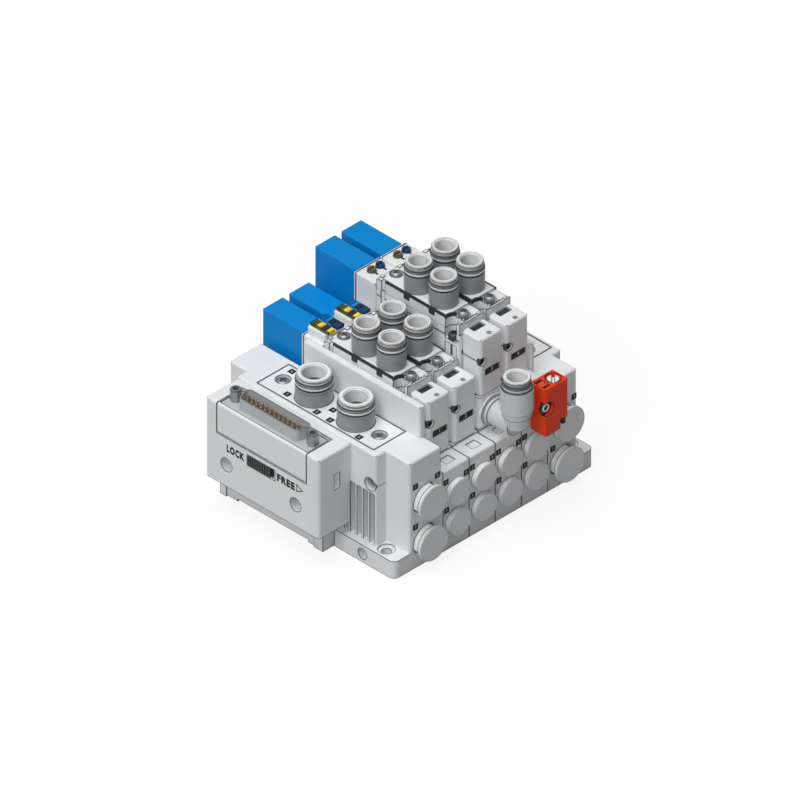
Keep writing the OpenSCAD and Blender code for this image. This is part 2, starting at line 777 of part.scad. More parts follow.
// Body with its top ring gap below z = 0, which is the top of the release bushing
module fitting_body(tube_d, body_d, foot_d, base_z, foot_z, throat_d) {
    neck_r = tube_d / 2 + bushing_wall + run_gap;
    rim_r = body_d / 2 - rim_step;
    rim_z = -bushing_t - bushing_travel - rim_gap;
    rotate_extrude() polygon([
        [throat_d / 2, foot_z], [foot_d / 2, foot_z], [foot_d / 2, base_z], [body_d / 2, base_z],
        [body_d / 2, rim_z - 3.3], [rim_r, rim_z - 3.3], [rim_r, rim_z - 2.9], [body_d / 2, rim_z - 2.9],
        [body_d / 2, rim_z - 1.5], [rim_r, rim_z - 1.2], [rim_r, rim_z - 0.9],
            [rim_r - rim_step, rim_z - 0.7],
        [rim_r - rim_step, rim_z - 0.5], [rim_r, rim_z - 0.3], [rim_r, rim_z], [neck_r, rim_z],
        [neck_r, -tube_seat], [tube_d / 2, -tube_seat], [tube_d / 2, base_z], [throat_d / 2, base_z]]);
}

// Release bushing, with its top at z = 0
module bushing(tube_d, ring_d) rotate_extrude() polygon([
    [tube_d / 2, -bushing_reach], [tube_d / 2 + bushing_wall, -bushing_reach],
    [tube_d / 2 + bushing_wall, -bushing_t], [ring_d / 2, -bushing_t], [ring_d / 2, -rim_step],
    [ring_d / 2 - rim_step, 0], [tube_d / 2 + mouth_w, 0], [tube_d / 2, -mouth_t]]);

module supply_fittings() color(FITTING_GREY) for (y = supply_ys) placed()
    translate([d_plate_x, y, end_h + supply_fit_h])
        fitting_body(supply_tube_d, supply_fit_d, supply_fit_d,
        -supply_fit_h - plate_t, fitting_foot_z - end_h - supply_fit_h, gallery_d - 1);

module valve_fittings() color(FITTING_GREY) for (i = [0 : stations - 1], y = fit_ys) at_valve(i)
    translate([0, y, fit_top])
        fitting_body(valve_tube_d, valve_fit_d, valve_fit_d - foot_step, -valve_fit_h,
        -valve_fit_h - port_h, riser_d);

module release_bushing(i, y) color(RING_GREY) at_valve(i) translate([0, y, fit_top])
    bushing(valve_tube_d, valve_fit_d - ring_step);

module release_bushing_1a() release_bushing(0, fit_ys[0]);
module release_bushing_1b() release_bushing(0, fit_ys[1]);
module release_bushing_2a() release_bushing(1, fit_ys[0]);
module release_bushing_2b() release_bushing(1, fit_ys[1]);
module release_bushing_3a() release_bushing(2, fit_ys[0]);
module release_bushing_3b() release_bushing(2, fit_ys[1]);
module release_bushing_4a() release_bushing(3, fit_ys[0]);
module release_bushing_4b() release_bushing(3, fit_ys[1]);

module supply_bushing(y) color(RING_GREY) placed() translate([d_plate_x, y, end_h + supply_fit_h])
    bushing(supply_tube_d, supply_fit_d - ring_step);

module supply_bushing_a() supply_bushing(supply_ys[0]);
module supply_bushing_b() supply_bushing(supply_ys[1]);

// Valves

// Hole for a screw that runs down through a valve
module valve_screw_holes(low, high) for (y = screw_ys)
    rod_z([0, y, low], valve_screw_d + shank_gap, high - low);

// Passages from the two galleries up to a valve
module riser_holes(low, high) for (y = [supply_y, exhaust_y]) rod_z([0, y, low], riser_d, high - low);

// Channel in the left side of a valve, open at the top, with its screw on the floor
module side_channel(low, high) {
    rod_z([channel_x, channel_y, low], 2 * channel_r, high - low);
    box([-valve_w, channel_y - channel_r, low], [channel_x, channel_y + channel_r, high]);
}

module valve_body(i) at_valve(i) color(VALVE_GREY) difference() {
    soft_block([-valve_w / 2, body_y, 0], [valve_w / 2, adapter_y, valve_h], edge = 0.4);
    valve_screw_holes(-cut, valve_h + cut);
    side_channel(channel_z, valve_h + cut);
    rod_z([channel_x, channel_y, channel_z - screw_reach], small_screw_d + shank_gap, screw_reach + cut);
    // Recessed side panel below the channel, and the parting line along both sides
    box([-valve_w, channel_y - channel_r, 2], [-valve_w / 2 + 0.6, channel_y + channel_r, channel_z - 2]);
    for (x = [-valve_w / 2, valve_w / 2])
        box([x - 0.3, body_y - cut, parting_z], [x + 0.3, adapter_y + cut, parting_z + 0.4]);
    riser_holes(-cut, valve_h / 2);
    // Hole for the front cover's screw
    rod_y([cover_screw_x, body_y - cut, cover_screw_z], cover_screw_d + shank_gap, screw_reach / 2 + cut);
    // Groove down the left side, in front of the overrides' housing
    box([-valve_w, side_groove[0], 2], [-valve_w / 2 + 1, side_groove[1], valve_h + cut]);
}

module valve_body_1() valve_body(0);
module valve_body_2() valve_body(1);
module valve_body_3() valve_body(2);
module valve_body_4() valve_body(3);

// Rubber gasket under a valve or a spacer, drawn from z = 0 down
module gasket() difference() {
    box([-port_w / 2, cover_y + 3, -gasket_t], [port_w / 2, pilot_y - 1, 0]);
    riser_holes(-gasket_t - cut, cut);
    valve_screw_holes(-gasket_t - cut, cut);
}

module valve_gaskets() color(CLIP_BLACK) {
    for (i = [0 : stations - 1]) at_valve(i) gasket();
    for (i = [raised_from : stations - 1]) at_seat(i) gasket();
}

// Housing of the manual overrides, behind a valve body
module override_housing(i) at_valve(i) difference() {
    union() {
        soft_block([-valve_w / 2, adapter_y, 0], [valve_w / 2, pilot_y, adapter_h], corner = 0.6);
        if (i < raised_from) soft_block([box_x0, box_y0, adapter_h - edge_r],
            [box_x1, box_y1, adapter_h + override_h]);
    }
    // Seam round the pale rear strip
    for (x = [-valve_w / 2, valve_w / 2])
        box([x - 0.3, strip_y, -cut], [x + 0.3, strip_y + 0.3, adapter_h + cut]);
    box([-valve_w, strip_y, adapter_h - 0.4], [valve_w, strip_y + 0.3, adapter_h + cut]);
    if (i < raised_from) for (x = [slide_mid_x - slide_pitch / 2, slide_mid_x + slide_pitch / 2])
        box([x - neck_w / 2 - slide_gap, neck_y - slide_gap, adapter_h + override_h - neck_h - slide_gap],
            [x + neck_w / 2 + slide_gap, neck_y + neck_len + slide_travel + slide_gap,
                adapter_h + override_h + cut]);
    if (i >= raised_from) for (x = [button_mid_x - button_pitch / 2, button_mid_x + button_pitch / 2])
        rod_z([x, button_y, adapter_h - button_h], button_d + 2 * button_gap, button_h + cut);
}

module override_housings() color(VALVE_GREY) for (i = [0 : stations - 1]) override_housing(i);

module front_cover(i) at_valve(i) {
    // Pin of the test hole
    rod_z([0.6, cover_y + 2.1, cover_h - 1.2 - cut], 0.9, cut + 0.9);
    difference() {
        soft_block([-cover_w / 2, cover_y, 0], [cover_w / 2, body_y, cover_h], corner = 1.6);
        // Lamp window, test hole and label field
        box([-3.2, body_y - 4.4, cover_h - 0.4], [3.6, body_y - 1.1, cover_h + cut]);
        rod_z([0.6, cover_y + 2.1, cover_h - 1.2], 1.9, 1.2 + cut);
        box([-3.8, cover_y - cut, 10], [4.6, cover_y + 0.25, 13]);
        // Seat of the screw in the front edge, and the finger notch at the foot
        rod_y([cover_screw_x, cover_y - cut, cover_screw_z], small_head_d + head_gap, 2 + cut);
        rod_y([cover_screw_x, cover_y - cut, cover_screw_z], cover_screw_d + shank_gap,
            cover_len + 2 * cut);
        translate([cover_w / 2, cover_y - cut, 0]) rotate([-90, 0, 0]) cylinder(r = 1.6, h = 3 + cut);
    }
}

module front_covers() color(VALVE_GREY) for (i = [0 : stations - 1]) front_cover(i);

module port_block(i) at_valve(i) difference() {
    front = body_y + 0.2;
    union() {
        box([-port_w / 2, front, valve_h], [port_w / 2, adapter_y - slide_gap, trough_z]);
        box([-port_w / 2, front, valve_h], [port_w / 2, front + front_wall_t, front_wall_top]);
        box([-port_w / 2, front, valve_h],
            [-port_w / 2 + 1, front + lug_len, front_wall_top + 2 * lug_rise]);
        // Lugs inside the front wall and at the back
        for (x = front_lug_xs) box([x - lug_w / 2, front + front_wall_t / 2, valve_h],
            [x + lug_w / 2, front + lug_len, front_wall_top + lug_rise]);
        for (x = back_lug_xs) box([x - lug_w / 2, plate_y1 - lug_len, valve_h],
            [x + lug_w / 2, plate_y1, port_top + 2 * lug_rise]);
        box([-port_w / 2, plate_y0, valve_h], [port_w / 2, plate_y1, port_top]);
    }
    for (y = fit_ys) rod_z([0, y, valve_h - cut], valve_fit_d - foot_step + 2 * plug_gap,
        port_h + 2 * cut);
    for (y = screw_ys) {
        rod_z([0, y, valve_h - cut], valve_screw_d + shank_gap, port_h + 2 * cut);
        rod_z([0, y, screw_seat], valve_head_d + seat_gap, port_h + cut);
    }
    // Well behind the front wall, between its lugs
    box([-well_w / 2, front + front_wall_t, trough_z - well_depth],
        [well_w / 2, front + lug_len + 0.6, trough_z + cut]);
    side_channel(valve_h - cut, port_top + cut);
    box([-port_w, side_groove[0], valve_h - cut], [-port_w / 2 + 0.8, side_groove[1], port_top + cut]);
    // Seat of the clip's rim round the channel
    intersection() {
        rod_z([channel_x, channel_y, trough_z], 2 * (channel_r + clip_rim), port_h);
        box([-port_w, plate_y0 - cut, 0], [port_w, adapter_y, port_top + cut]);
    }
    // Rebate for the clip along the upper edges, and its tab seats
    for (side = [-1, 1]) mirror([side < 0 ? 1 : 0, 0, 0]) {
        box([port_w / 2 - clip_t, plate_y0 - cut, port_top - clip_t],
            [port_w, plate_y1 + cut, port_top + cut]);
        for (y = fit_ys) box([port_w / 2 - clip_t, y - 1.6, port_top - tab_h],
            [port_w, y + 1.6, port_top + cut]);
    }
}

module port_blocks() color(VALVE_GREY) for (i = [0 : stations - 1]) port_block(i);

// Clip that lies in the rebate of a port block and locks its fittings
module clip_form() {
    difference() {
        for (side = [0, 1]) mirror([side, 0, 0]) {
            box([port_w / 2 - clip_t, plate_y0, port_top - clip_t], [port_w / 2, plate_y1, port_top]);
            for (y = fit_ys) box([port_w / 2 - clip_t, y - 1.5, port_top - tab_h],
                [port_w / 2 + 0.2, y + 1.5, port_top]);
        }
        box([-port_w, side_groove[0], 0], [0, adapter_y, port_top + cut]);
    }
    // Rim round the back of the side channel, as far as the seat of the screw
    difference() {
        rod_z([channel_x, channel_y, trough_z], 2 * (channel_r + clip_rim), port_top - trough_z);
        side_channel(0, port_top + cut);
        rod_z([0, screw_ys[0], 0], valve_head_d + seat_gap, port_top + cut);
        box([-valve_w, cover_y, 0], [valve_w, channel_y, port_top + cut]);
        box([-valve_w, cover_y, 0], [-port_w / 2, adapter_y, port_top + cut]);
    }
}

module fitting_clips() color(CLIP_BLACK) for (i = [0 : stations - 1]) at_valve(i) clip_form();

module pilot_covers() color(PILOT_BLUE) for (i = [0 : stations - 1]) at_valve(i)
    soft_block([-pilot_w / 2, pilot_y, pilot_bottom], [pilot_w / 2, pilot_y + pilot_len, pilot_top],
        corner = 1);

// Slide override: a cap with a ribbed thumb grip, and a neck that runs in a slot of the box
module override_slide(i, side, tone) color(tone) at_valve(i)
    translate([slide_mid_x + side * slide_pitch / 2, 0, adapter_h + override_h]) difference() {
        union() {
            box([-slide_w / 2, box_y0 - 0.5, slide_gap],
                [slide_w / 2, box_y0 - 0.5 + slide_len, slide_t]);
            box([-neck_w / 2, neck_y, -neck_h], [neck_w / 2, neck_y + neck_len, slide_t / 2]);
        }
        for (k = [0 : 2]) box([-slide_w, box_y0 + slide_len - 1.4 - 1.1 * k, slide_t - 0.4],
            [slide_w, box_y0 + slide_len - 0.9 - 1.1 * k, slide_t + cut]);
        box([-slide_w / 2 + 0.8, box_y0 + 1.4, slide_t - 0.4],
            [slide_w / 2 - 0.8, box_y0 + 5.2, slide_t + cut]);
    }

module override_slide_1a() override_slide(0, -1, SIGNAL_YELLOW);
module override_slide_1b() override_slide(0, 1, PILOT_BLUE);
module override_slide_2a() override_slide(1, -1, SIGNAL_YELLOW);
module override_slide_2b() override_slide(1, 1, PILOT_BLUE);

// Push override with a screwdriver slot
module override_button(i, side, tone) color(tone) at_valve(i)
    translate([button_mid_x + side * button_pitch / 2, button_y, adapter_h]) difference() {
        rod_z([0, 0, button_proud - button_h], button_d, button_h);
        box([-button_d, -0.4, button_proud - 0.6], [button_d, 0.4, button_proud + cut]);
    }

module override_button_3a() override_button(2, -1, STOP_ORANGE);
module override_button_3b() override_button(2, 1, PILOT_BLUE);
module override_button_4a() override_button(3, -1, STOP_ORANGE);
module override_button_4b() override_button(3, 1, PILOT_BLUE);

// Spacers under the raised valves

module spacer_form() difference() {
    soft_block([-valve_w / 2, spacer_y, 0], [valve_w / 2, pilot_y, spacer_h - gasket_t],
        corner = spacer_r, edge = 0.3);
    riser_holes(-cut, spacer_h + cut);
    for (y = screw_ys) rod_z([0, y, spacer_h - screw_reach - cut], valve_screw_d + shank_gap,
        screw_reach + 2 * cut);
}

module at_seat(i) placed() translate([station_x(i), 0, seat_z]) children();

module supply_spacer() at_seat(2) color(SHELL_GREY) difference() {
    union() {
        spacer_form();
        rod_y([0, spacer_y - boss_t, elbow_z], min(boss_d, 2 * elbow_z), boss_t + cut);
    }
    rod_y([0, spacer_y - boss_t - cut, elbow_z], spigot_d + 2 * run_gap, spigot_len + boss_t + cut);
    rod_y([0, spacer_y, elbow_z], riser_d, supply_y - spacer_y);
}

module stop_valve_spacer() at_seat(3) color(SHELL_GREY) {
    difference() {
        union() {
            spacer_form();
            soft_block([-stop_w / 2, stop_y1, 0.5],
                [stop_w / 2, spacer_y + spacer_r + cut, spacer_h - 0.2], edge = 0.4);
        }
        rod_y([0, stop_y1 - cut, elbow_z], riser_d, supply_y - stop_y1);
    }
}

module stop_valve_cover() placed() color(STOP_ORANGE) difference() {
    soft_block([stop_x - stop_w / 2, stop_y0, stop_z0], [stop_x + stop_w / 2, stop_y1, stop_top],
        corner = 1, edge = 0.6);
    rod_z([spindle_x, spindle_y, stop_top - spindle_h - 1], spindle_d + 2 * run_gap, spindle_h + cut + 1);
    rod_z([spindle_x, spindle_y, stop_top - 0.9], spindle_d + 1.4, 0.9 + cut);
    // Foot notch at the right, indicator window at the left edge and marker field on top
    box([stop_x + stop_w / 2 - notch_w, stop_y0 - cut, stop_z0 - cut],
        [stop_x + stop_w, stop_y1 + cut, stop_z0 + notch_h]);
    rod_y([stop_x - stop_w / 2 + window_x, stop_y0 - cut, stop_z0 + window_z], window_d, window_t + cut);
    box([stop_x - stop_w / 2 + 0.9, stop_y0 + 1.8, stop_top - 0.4],
        [stop_x - stop_w / 2 + 4.6, stop_y1 - 2, stop_top + cut]);
}

module stop_spindle() placed() color(RING_GREY) difference() {
    rod_z([spindle_x, spindle_y, stop_top - spindle_h], spindle_d, spindle_h - spindle_recess);
    translate([spindle_x, spindle_y, stop_top - spindle_recess - 1.2]) rotate(-45)
        box([-0.5, -spindle_d, 0], [0.5, spindle_d, 2]);
}

// Elbow that swivels on the supply spacer

module elbow_body() placed() color(RING_GREY) translate([elbow_x, -elbow_reach, elbow_axis_z])
    difference() {
    union() {
        translate([0, 0, elbow_h]) fitting_body(valve_tube_d, elbow_sleeve_d - sleeve_step,
            elbow_sleeve_d - sleeve_step, -elbow_h + sleeve_rise, -elbow_h + 5, riser_d);
        rotate_extrude() polygon([[valve_tube_d / 2 + 1.8, sleeve_rise],
            [elbow_sleeve_d / 2 - sleeve_edge, sleeve_rise],
                [elbow_sleeve_d / 2, sleeve_rise + sleeve_edge],
            [elbow_sleeve_d / 2, elbow_h - sleeve_drop - sleeve_edge],
            [elbow_sleeve_d / 2 - sleeve_edge, elbow_h - sleeve_drop],
                [valve_tube_d / 2 + 1.8, elbow_h - sleeve_drop]]);
        difference() {
            union() {
                translate([0, 0, -0.8])
                    cylinder(d1 = barrel_d - barrel_step, d2 = barrel_d + barrel_step,
                        h = sleeve_rise + 0.9);
                rod_y([0, 0, 0], barrel_d, elbow_reach + spacer_y - boss_t - barrel_band);
                rod_y([0, elbow_reach + spacer_y - boss_t - barrel_band - 0.2, 0],
                    barrel_d + barrel_step, barrel_band);
                rod_y([0, 0, 0], spigot_d, elbow_reach + spacer_y - boss_t + spigot_len - 0.5);
            }
            cylinder(d = riser_d, h = elbow_h);
            translate([0, 0, 6]) cylinder(d = riser_d + 1.6, h = elbow_h);
        }
    }
    sphere(d = riser_d + 0.2);
    rod_y([0, 0, 0], riser_d, elbow_reach + spacer_y + spigot_len + cut);
}

module elbow_bushing() placed() color(RING_GREY)
    translate([elbow_x, -elbow_reach, elbow_axis_z + elbow_h])
    bushing(valve_tube_d, elbow_sleeve_d - 2 * ring_step);

// Connector unit

module connector_housing() placed() color(SHELL_GREY) difference() {
    soft_block([housing_x, housing_y0, housing_z], [wall_x, housing_y1, housing_top], corner = housing_r);
    // Cavity that the square block turns in
    box([housing_x - cut, turn_y0, housing_top - turn_side - turn_gap],
        [housing_x + turn_side + turn_gap, turn_y1, housing_top + cut]);
    rod_y([turn_x, turn_y0, turn_z], 2 * turn_cavity_r, turn_len);
    rod_y([turn_x, turn_y0 - pivot_len - 0.2, turn_z], pivot_d + 2 * run_gap,
        turn_len + 2 * pivot_len + 0.4);
    // Screw wells
    for (y = housing_screw_ys) {
        rod_x([housing_x - cut, y, housing_screw_z], housing_hole_d, housing_reach - housing_seat + cut);
        rod_x([housing_x, y, housing_screw_z], housing_screw_d + shank_gap, housing_reach + cut);
    }
    // Window of the slide lock, with a lip under its edge
    box([housing_x - cut, lock_y0, lock_z0], [housing_x + lock_depth, lock_y1, lock_z0 + lock_h]);
    box([housing_x + lock_skin, lock_y0, lock_z0 - lock_lip],
        [housing_x + lock_depth, lock_y1, lock_z0 + lock_h]);
    // Slot for the latch of the plug cover
    box([wall_x - latch_x - latch_w, housing_y0 - cut, housing_top - latch_drop - latch_h],
        [wall_x - latch_x, housing_y0 + latch_depth, housing_top - latch_drop]);
}

module lock_slider() placed() color(CLIP_BLACK) {
    length = lock_window - lock_travel - 2 * lock_gap;
    y1 = lock_y1 - lock_gap;
    difference() {
        union() {
            box([housing_x - 0.2, y1 - length, lock_z0 + lock_gap],
                [housing_x + lock_depth - lock_gap, y1, lock_z0 + lock_h - lock_gap]);
            box([housing_x + lock_skin + lock_gap, y1 - length, lock_z0 - lock_lip + lock_gap],
                [housing_x + lock_depth - lock_gap, y1, lock_z0 + lock_h / 2]);
        }
        for (y = [y1 - length + 1 : 1.5 : y1 - 1])
            box([housing_x - cut, y, lock_z0 - cut], [housing_x + 0.3, y + 0.7, lock_z0 + lock_h + cut]);
    }
}

module rail_bracket() placed() color(SHELL_GREY) difference() {
    union() {
        box([-bracket_reach, bracket_y, 0], [wall_x, bracket_y + bracket_len, housing_z]);
        for (y = bracket_tabs)
            box([-bracket_reach - bracket_tab_t, bracket_y + y[0], 0],
                [-bracket_reach + cut, bracket_y + y[1], housing_z]);
    }
    // Relief under the bracket between its two legs
    box([-bracket_reach - cut - 1, bracket_y + 10, -cut],
        [wall_x - 2, bracket_y + bracket_len - 10, 1.2]);
    rod_x([-bracket_reach - cut - 1, rod_low_y, rod_low_z], rod_head_d + head_gap,
        bracket_reach + wall_x + 2 * cut + 1);
}

module connector_block() placed() color(SHELL_GREY) difference() {
    union() {
        translate([turn_x, turn_y1 - turn_gap, turn_z]) rotate([90, 0, 0])
            linear_extrude(turn_len - 2 * turn_gap)
            round_rect([-turn_side / 2, -turn_side / 2], [turn_side / 2, turn_side / 2], turn_r);
        rod_y([turn_x, turn_y0 - pivot_len, turn_z], pivot_d, turn_len + 2 * pivot_len);
    }
    box([turn_x - flange_w / 2 - flange_gap, panel_y - flange_len / 2 - flange_gap, flange_z],
        [turn_x + flange_w / 2 + flange_gap, panel_y + flange_len / 2 + flange_gap, housing_top + cut]);
    for (side = [-1, 1])
        rod_z([turn_x, panel_y + side * jack_pitch / 2, flange_z - jack_hole_t],
            jack_screw_d + shank_gap, jack_hole_t + cut);
}

// Outline of the connector's shell, drawn in by inset all round, with its wide side towards +X
module connector_outline(inset) {
    a = shell_w / 2 - shell_r;
    b = shell_len / 2 - shell_r;
    r = shell_r - inset;
    polygon([for (c = [[a, b, 0], [-a, b - shell_slant, 90], [-a, shell_slant - b, 180], [a, -b, 270]],
        turn = [0 : 15 : 90])
        [c.x + r * cos(c.z + turn), c.y + r * sin(c.z + turn)]]);
}

module at_panel(z) placed() translate([turn_x, panel_y, flange_z + z]) children();

module dsub_shell() color(STEEL) at_panel(0) difference() {
    union() {
        linear_extrude(flange_t) round_rect([-flange_w / 2, -flange_len / 2],
            [flange_w / 2, flange_len / 2], 1);
        linear_extrude(flange_t + shell_h) connector_outline(0);
    }
    translate([0, 0, -cut]) linear_extrude(flange_t + shell_h + 2 * cut) connector_outline(shell_wall);
    for (side = [-1, 1]) rod_z([0, side * jack_pitch / 2, -cut], jack_screw_d + shank_gap,
        flange_t + 2 * cut);
}

// Places of the pins: 13 in the wide row and 12 in the other
pin_places = [for (k = [0 : 24]) [(k < 13 ? 0.5 : -0.5) * row_pitch,
    (k < 13 ? k - 6 : k - 18.5) * pin_pitch]];

module dsub_insulator() color(CLIP_BLACK) at_panel(0) difference() {
    linear_extrude(flange_t + insulator_h) connector_outline(shell_wall + 0.05);
    for (p = pin_places) rod_z([p.x, p.y, -cut], pin_d, flange_t + insulator_h + 2 * cut);
}

module dsub_pins() color(GOLD) at_panel(0) for (p = pin_places) translate([p.x, p.y, 0])
    rotate_extrude($fn = 24) polygon([[0, 0], [pin_d / 2, 0],
        [pin_d / 2, flange_t + shell_h - 1.5 * pin_tip],
        [pin_d / 4, flange_t + shell_h - pin_tip], [0, flange_t + shell_h - pin_tip]]);

module jack_screws() color(STEEL) for (side = [-1, 1]) at_panel(flange_t)
    translate([0, side * jack_pitch / 2, 0]) difference() {
        union() {
            cylinder(d = jack_flat / cos(30), h = shell_h - 0.6, $fn = 6);
            cylinder(d = jack_flat - 0.2, h = shell_h);
            translate([0, 0, 0.5 - flange_t - jack_hole_t])
                cylinder(d = jack_screw_d, h = flange_t + jack_hole_t);
        }
        translate([0, 0, 1]) cylinder(d = jack_hole_d, h = shell_h);
    }

// Fasteners

module plate_screws() color(STEEL) for (x = [d_plate_x, overall_len - u_plate_x], y = plate_screw_ys)
    placed()
    translate([x, y, end_h - plate_head_t])
        screw(plate_head_d, plate_head_t - 0.2, plate_screw_d,
            plate_t - plate_head_t + screw_reach - cut);

module housing_screws() color(STEEL) for (y = housing_screw_ys) placed()
    translate([wall_x - housing_seat, y, housing_screw_z]) rotate([0, -90, 0])
        screw(housing_hole_d - head_gap, side_head_t, housing_screw_d, housing_seat + screw_reach - cut);

module valve_screws() color(STEEL) for (i = [0 : stations - 1], y = screw_ys) at_valve(i)
    translate([0, y, screw_seat])
        screw(valve_head_d, valve_head_t, valve_screw_d, screw_seat + screw_reach);

// The screw in the side channel and the screw in the front cover of each valve
module cover_screws() color(STEEL) for (i = [0 : stations - 1]) at_valve(i) {
    translate([channel_x, channel_y, channel_z])
        screw(2 * channel_r - 4 * head_gap, side_head_t, small_screw_d, screw_reach - cut);
    translate([cover_screw_x, cover_y + 2, cover_screw_z]) rotate([90, 0, 0])
        screw(small_head_d, small_head_t, cover_screw_d, cover_len - 2 + screw_reach / 2 - cut);
}

// A tie rod clamps the stack between its head in the near wall and a nut in the far wall
module tie_rods() color(STEEL) for (p = rod_places) placed() translate([0, p.x, p.y]) {
    near = wall_x + rod_seat_t;
    far = overall_len - u_foot_reach + u_wall_reach - rod_seat_t;
    difference() {
        union() {
            rod_x([near - rod_grip, 0, 0], rod_head_d, rod_grip);
            rod_x([near - cut, 0, 0], rod_d, far - near + 2 * cut);
            rod_x([far, 0, 0], rod_head_d, rod_nut_t);
        }
        translate([near - rod_grip - cut, 0, 0]) rotate([0, 90, 0])
            cylinder(d = rod_key_w, h = rod_key_t + cut, $fn = 6);
    }
}

d_end_block();
u_end_block();
manifold_block_1();
manifold_block_2();
manifold_block_3();
manifold_block_4();
connector_housing();
rail_bracket();
supply_port_plate();
blanking_plate();
supply_fittings();
valve_fittings();
port_sockets();
blanking_plugs();
tie_rods();
plate_screws();
housing_screws();
valve_screws();
cover_screws();
fitting_clips();
valve_gaskets();
valve_body_1();
valve_body_2();
valve_body_3();
valve_body_4();
front_covers();
port_blocks();
override_housings();
pilot_covers();
supply_spacer();
stop_valve_spacer();
stop_valve_cover();
connector_block();
dsub_shell();
dsub_insulator();
dsub_pins();
jack_screws();
lock_slider();
override_slide_1a();
override_slide_1b();
override_slide_2a();
override_slide_2b();
override_button_3a();
override_button_3b();
override_button_4a();
override_button_4b();
release_bushing_1a();
release_bushing_1b();
release_bushing_2a();
release_bushing_2b();
release_bushing_3a();
release_bushing_3b();
release_bushing_4a();
release_bushing_4b();
supply_bushing_a();
supply_bushing_b();
elbow_body();
elbow_bushing();
stop_spindle();
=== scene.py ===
"""Dresses the valve manifold: its finishes, its marks and the small trim of its fittings."""

import json
import logging
import math
from dataclasses import dataclass, field
from enum import Enum
from typing import Callable, Optional, Union

import bpy
from mathutils import Matrix, Vector


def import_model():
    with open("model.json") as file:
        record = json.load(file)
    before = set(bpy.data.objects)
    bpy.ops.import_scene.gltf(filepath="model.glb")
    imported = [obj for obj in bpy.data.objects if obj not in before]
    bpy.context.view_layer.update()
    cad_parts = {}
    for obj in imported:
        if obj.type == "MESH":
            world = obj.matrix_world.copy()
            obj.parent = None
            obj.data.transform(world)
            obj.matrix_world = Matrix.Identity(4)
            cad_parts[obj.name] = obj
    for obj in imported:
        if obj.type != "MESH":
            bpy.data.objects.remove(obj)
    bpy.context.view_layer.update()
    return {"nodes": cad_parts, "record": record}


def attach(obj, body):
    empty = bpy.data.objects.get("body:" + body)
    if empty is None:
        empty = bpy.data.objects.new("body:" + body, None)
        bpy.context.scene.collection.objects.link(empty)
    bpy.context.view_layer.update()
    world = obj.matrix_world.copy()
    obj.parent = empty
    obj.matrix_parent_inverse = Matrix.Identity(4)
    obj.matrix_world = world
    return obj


log = logging.getLogger("valve_manifold")
MM = 0.001
PER_METRE = 1000.0
Point = tuple[float, float, float]
Pair = tuple[float, float]
Colour = tuple[float, float, float]

# Middle of the mounting holes, on the face that the base rests on: the origin of the part's frame.
# It and the places below are in millimetres from the corner of the connector end's foot.
ORIGIN: Point = (61.25, 57.5, 0.0)
PITCH = 16.0
FIRST_STATION = 38.0
STATIONS = range(4)
FIRST_RAISED = 2
SEAT = 43.5
RAISED_BY = 17.0
VALVE_HEIGHT = 29.0
SLIDE_HOUSING = 4.2
SLIDE_THICKNESS = 1.5
SLIDE_FRONT = 73.2
PLATE_TOP = 56.6
PORT_FACE = 0.0
COVER_FRONT = 10.3
STOP_COVER_FRONT = -13.8
STOP_WINDOW_DEPTH = 2.75

# Tops of the tube fittings: supply, low valves, raised valves
FITTING_TOPS = (70.0, 90.7, 107.7)
ELBOW_TOP = 76.0
# Grooves below each top, from lower to upper edge, which get painted shade
GROOVES = ((2.86, 2.34), (3.63, 3.13), (5.44, 4.90))
SUPPLY_GROOVE = (6.95, 6.75)
# The pale collar reaches from below each top to a little above it
COLLAR_DROP = 5.0
COLLAR_RISE = 0.5


def at_bench(x: float, y: float, z: float) -> Vector:
    """Turns millimetres from the corner of the foot into metres from the mounting holes' centre.

    Args:
        x: Distance along the stack from the end of the connector end's foot.
        y: Distance behind the port face.
        z: Height above the face that the base rests on.

    Returns:
        The same place in the part's frame.
    """
    return Vector([(value - start) * MM for value, start in zip((x, y, z), ORIGIN)])


def middle_of(station: int) -> float:
    """Gives the middle of a station along the stack, counted from 0."""
    return FIRST_STATION + PITCH * station


def seat_of(station: int) -> float:
    """Gives the height of a valve's seat, which a spacer raises on the last two stations."""
    return SEAT + (RAISED_BY if station >= FIRST_RAISED else 0.0)


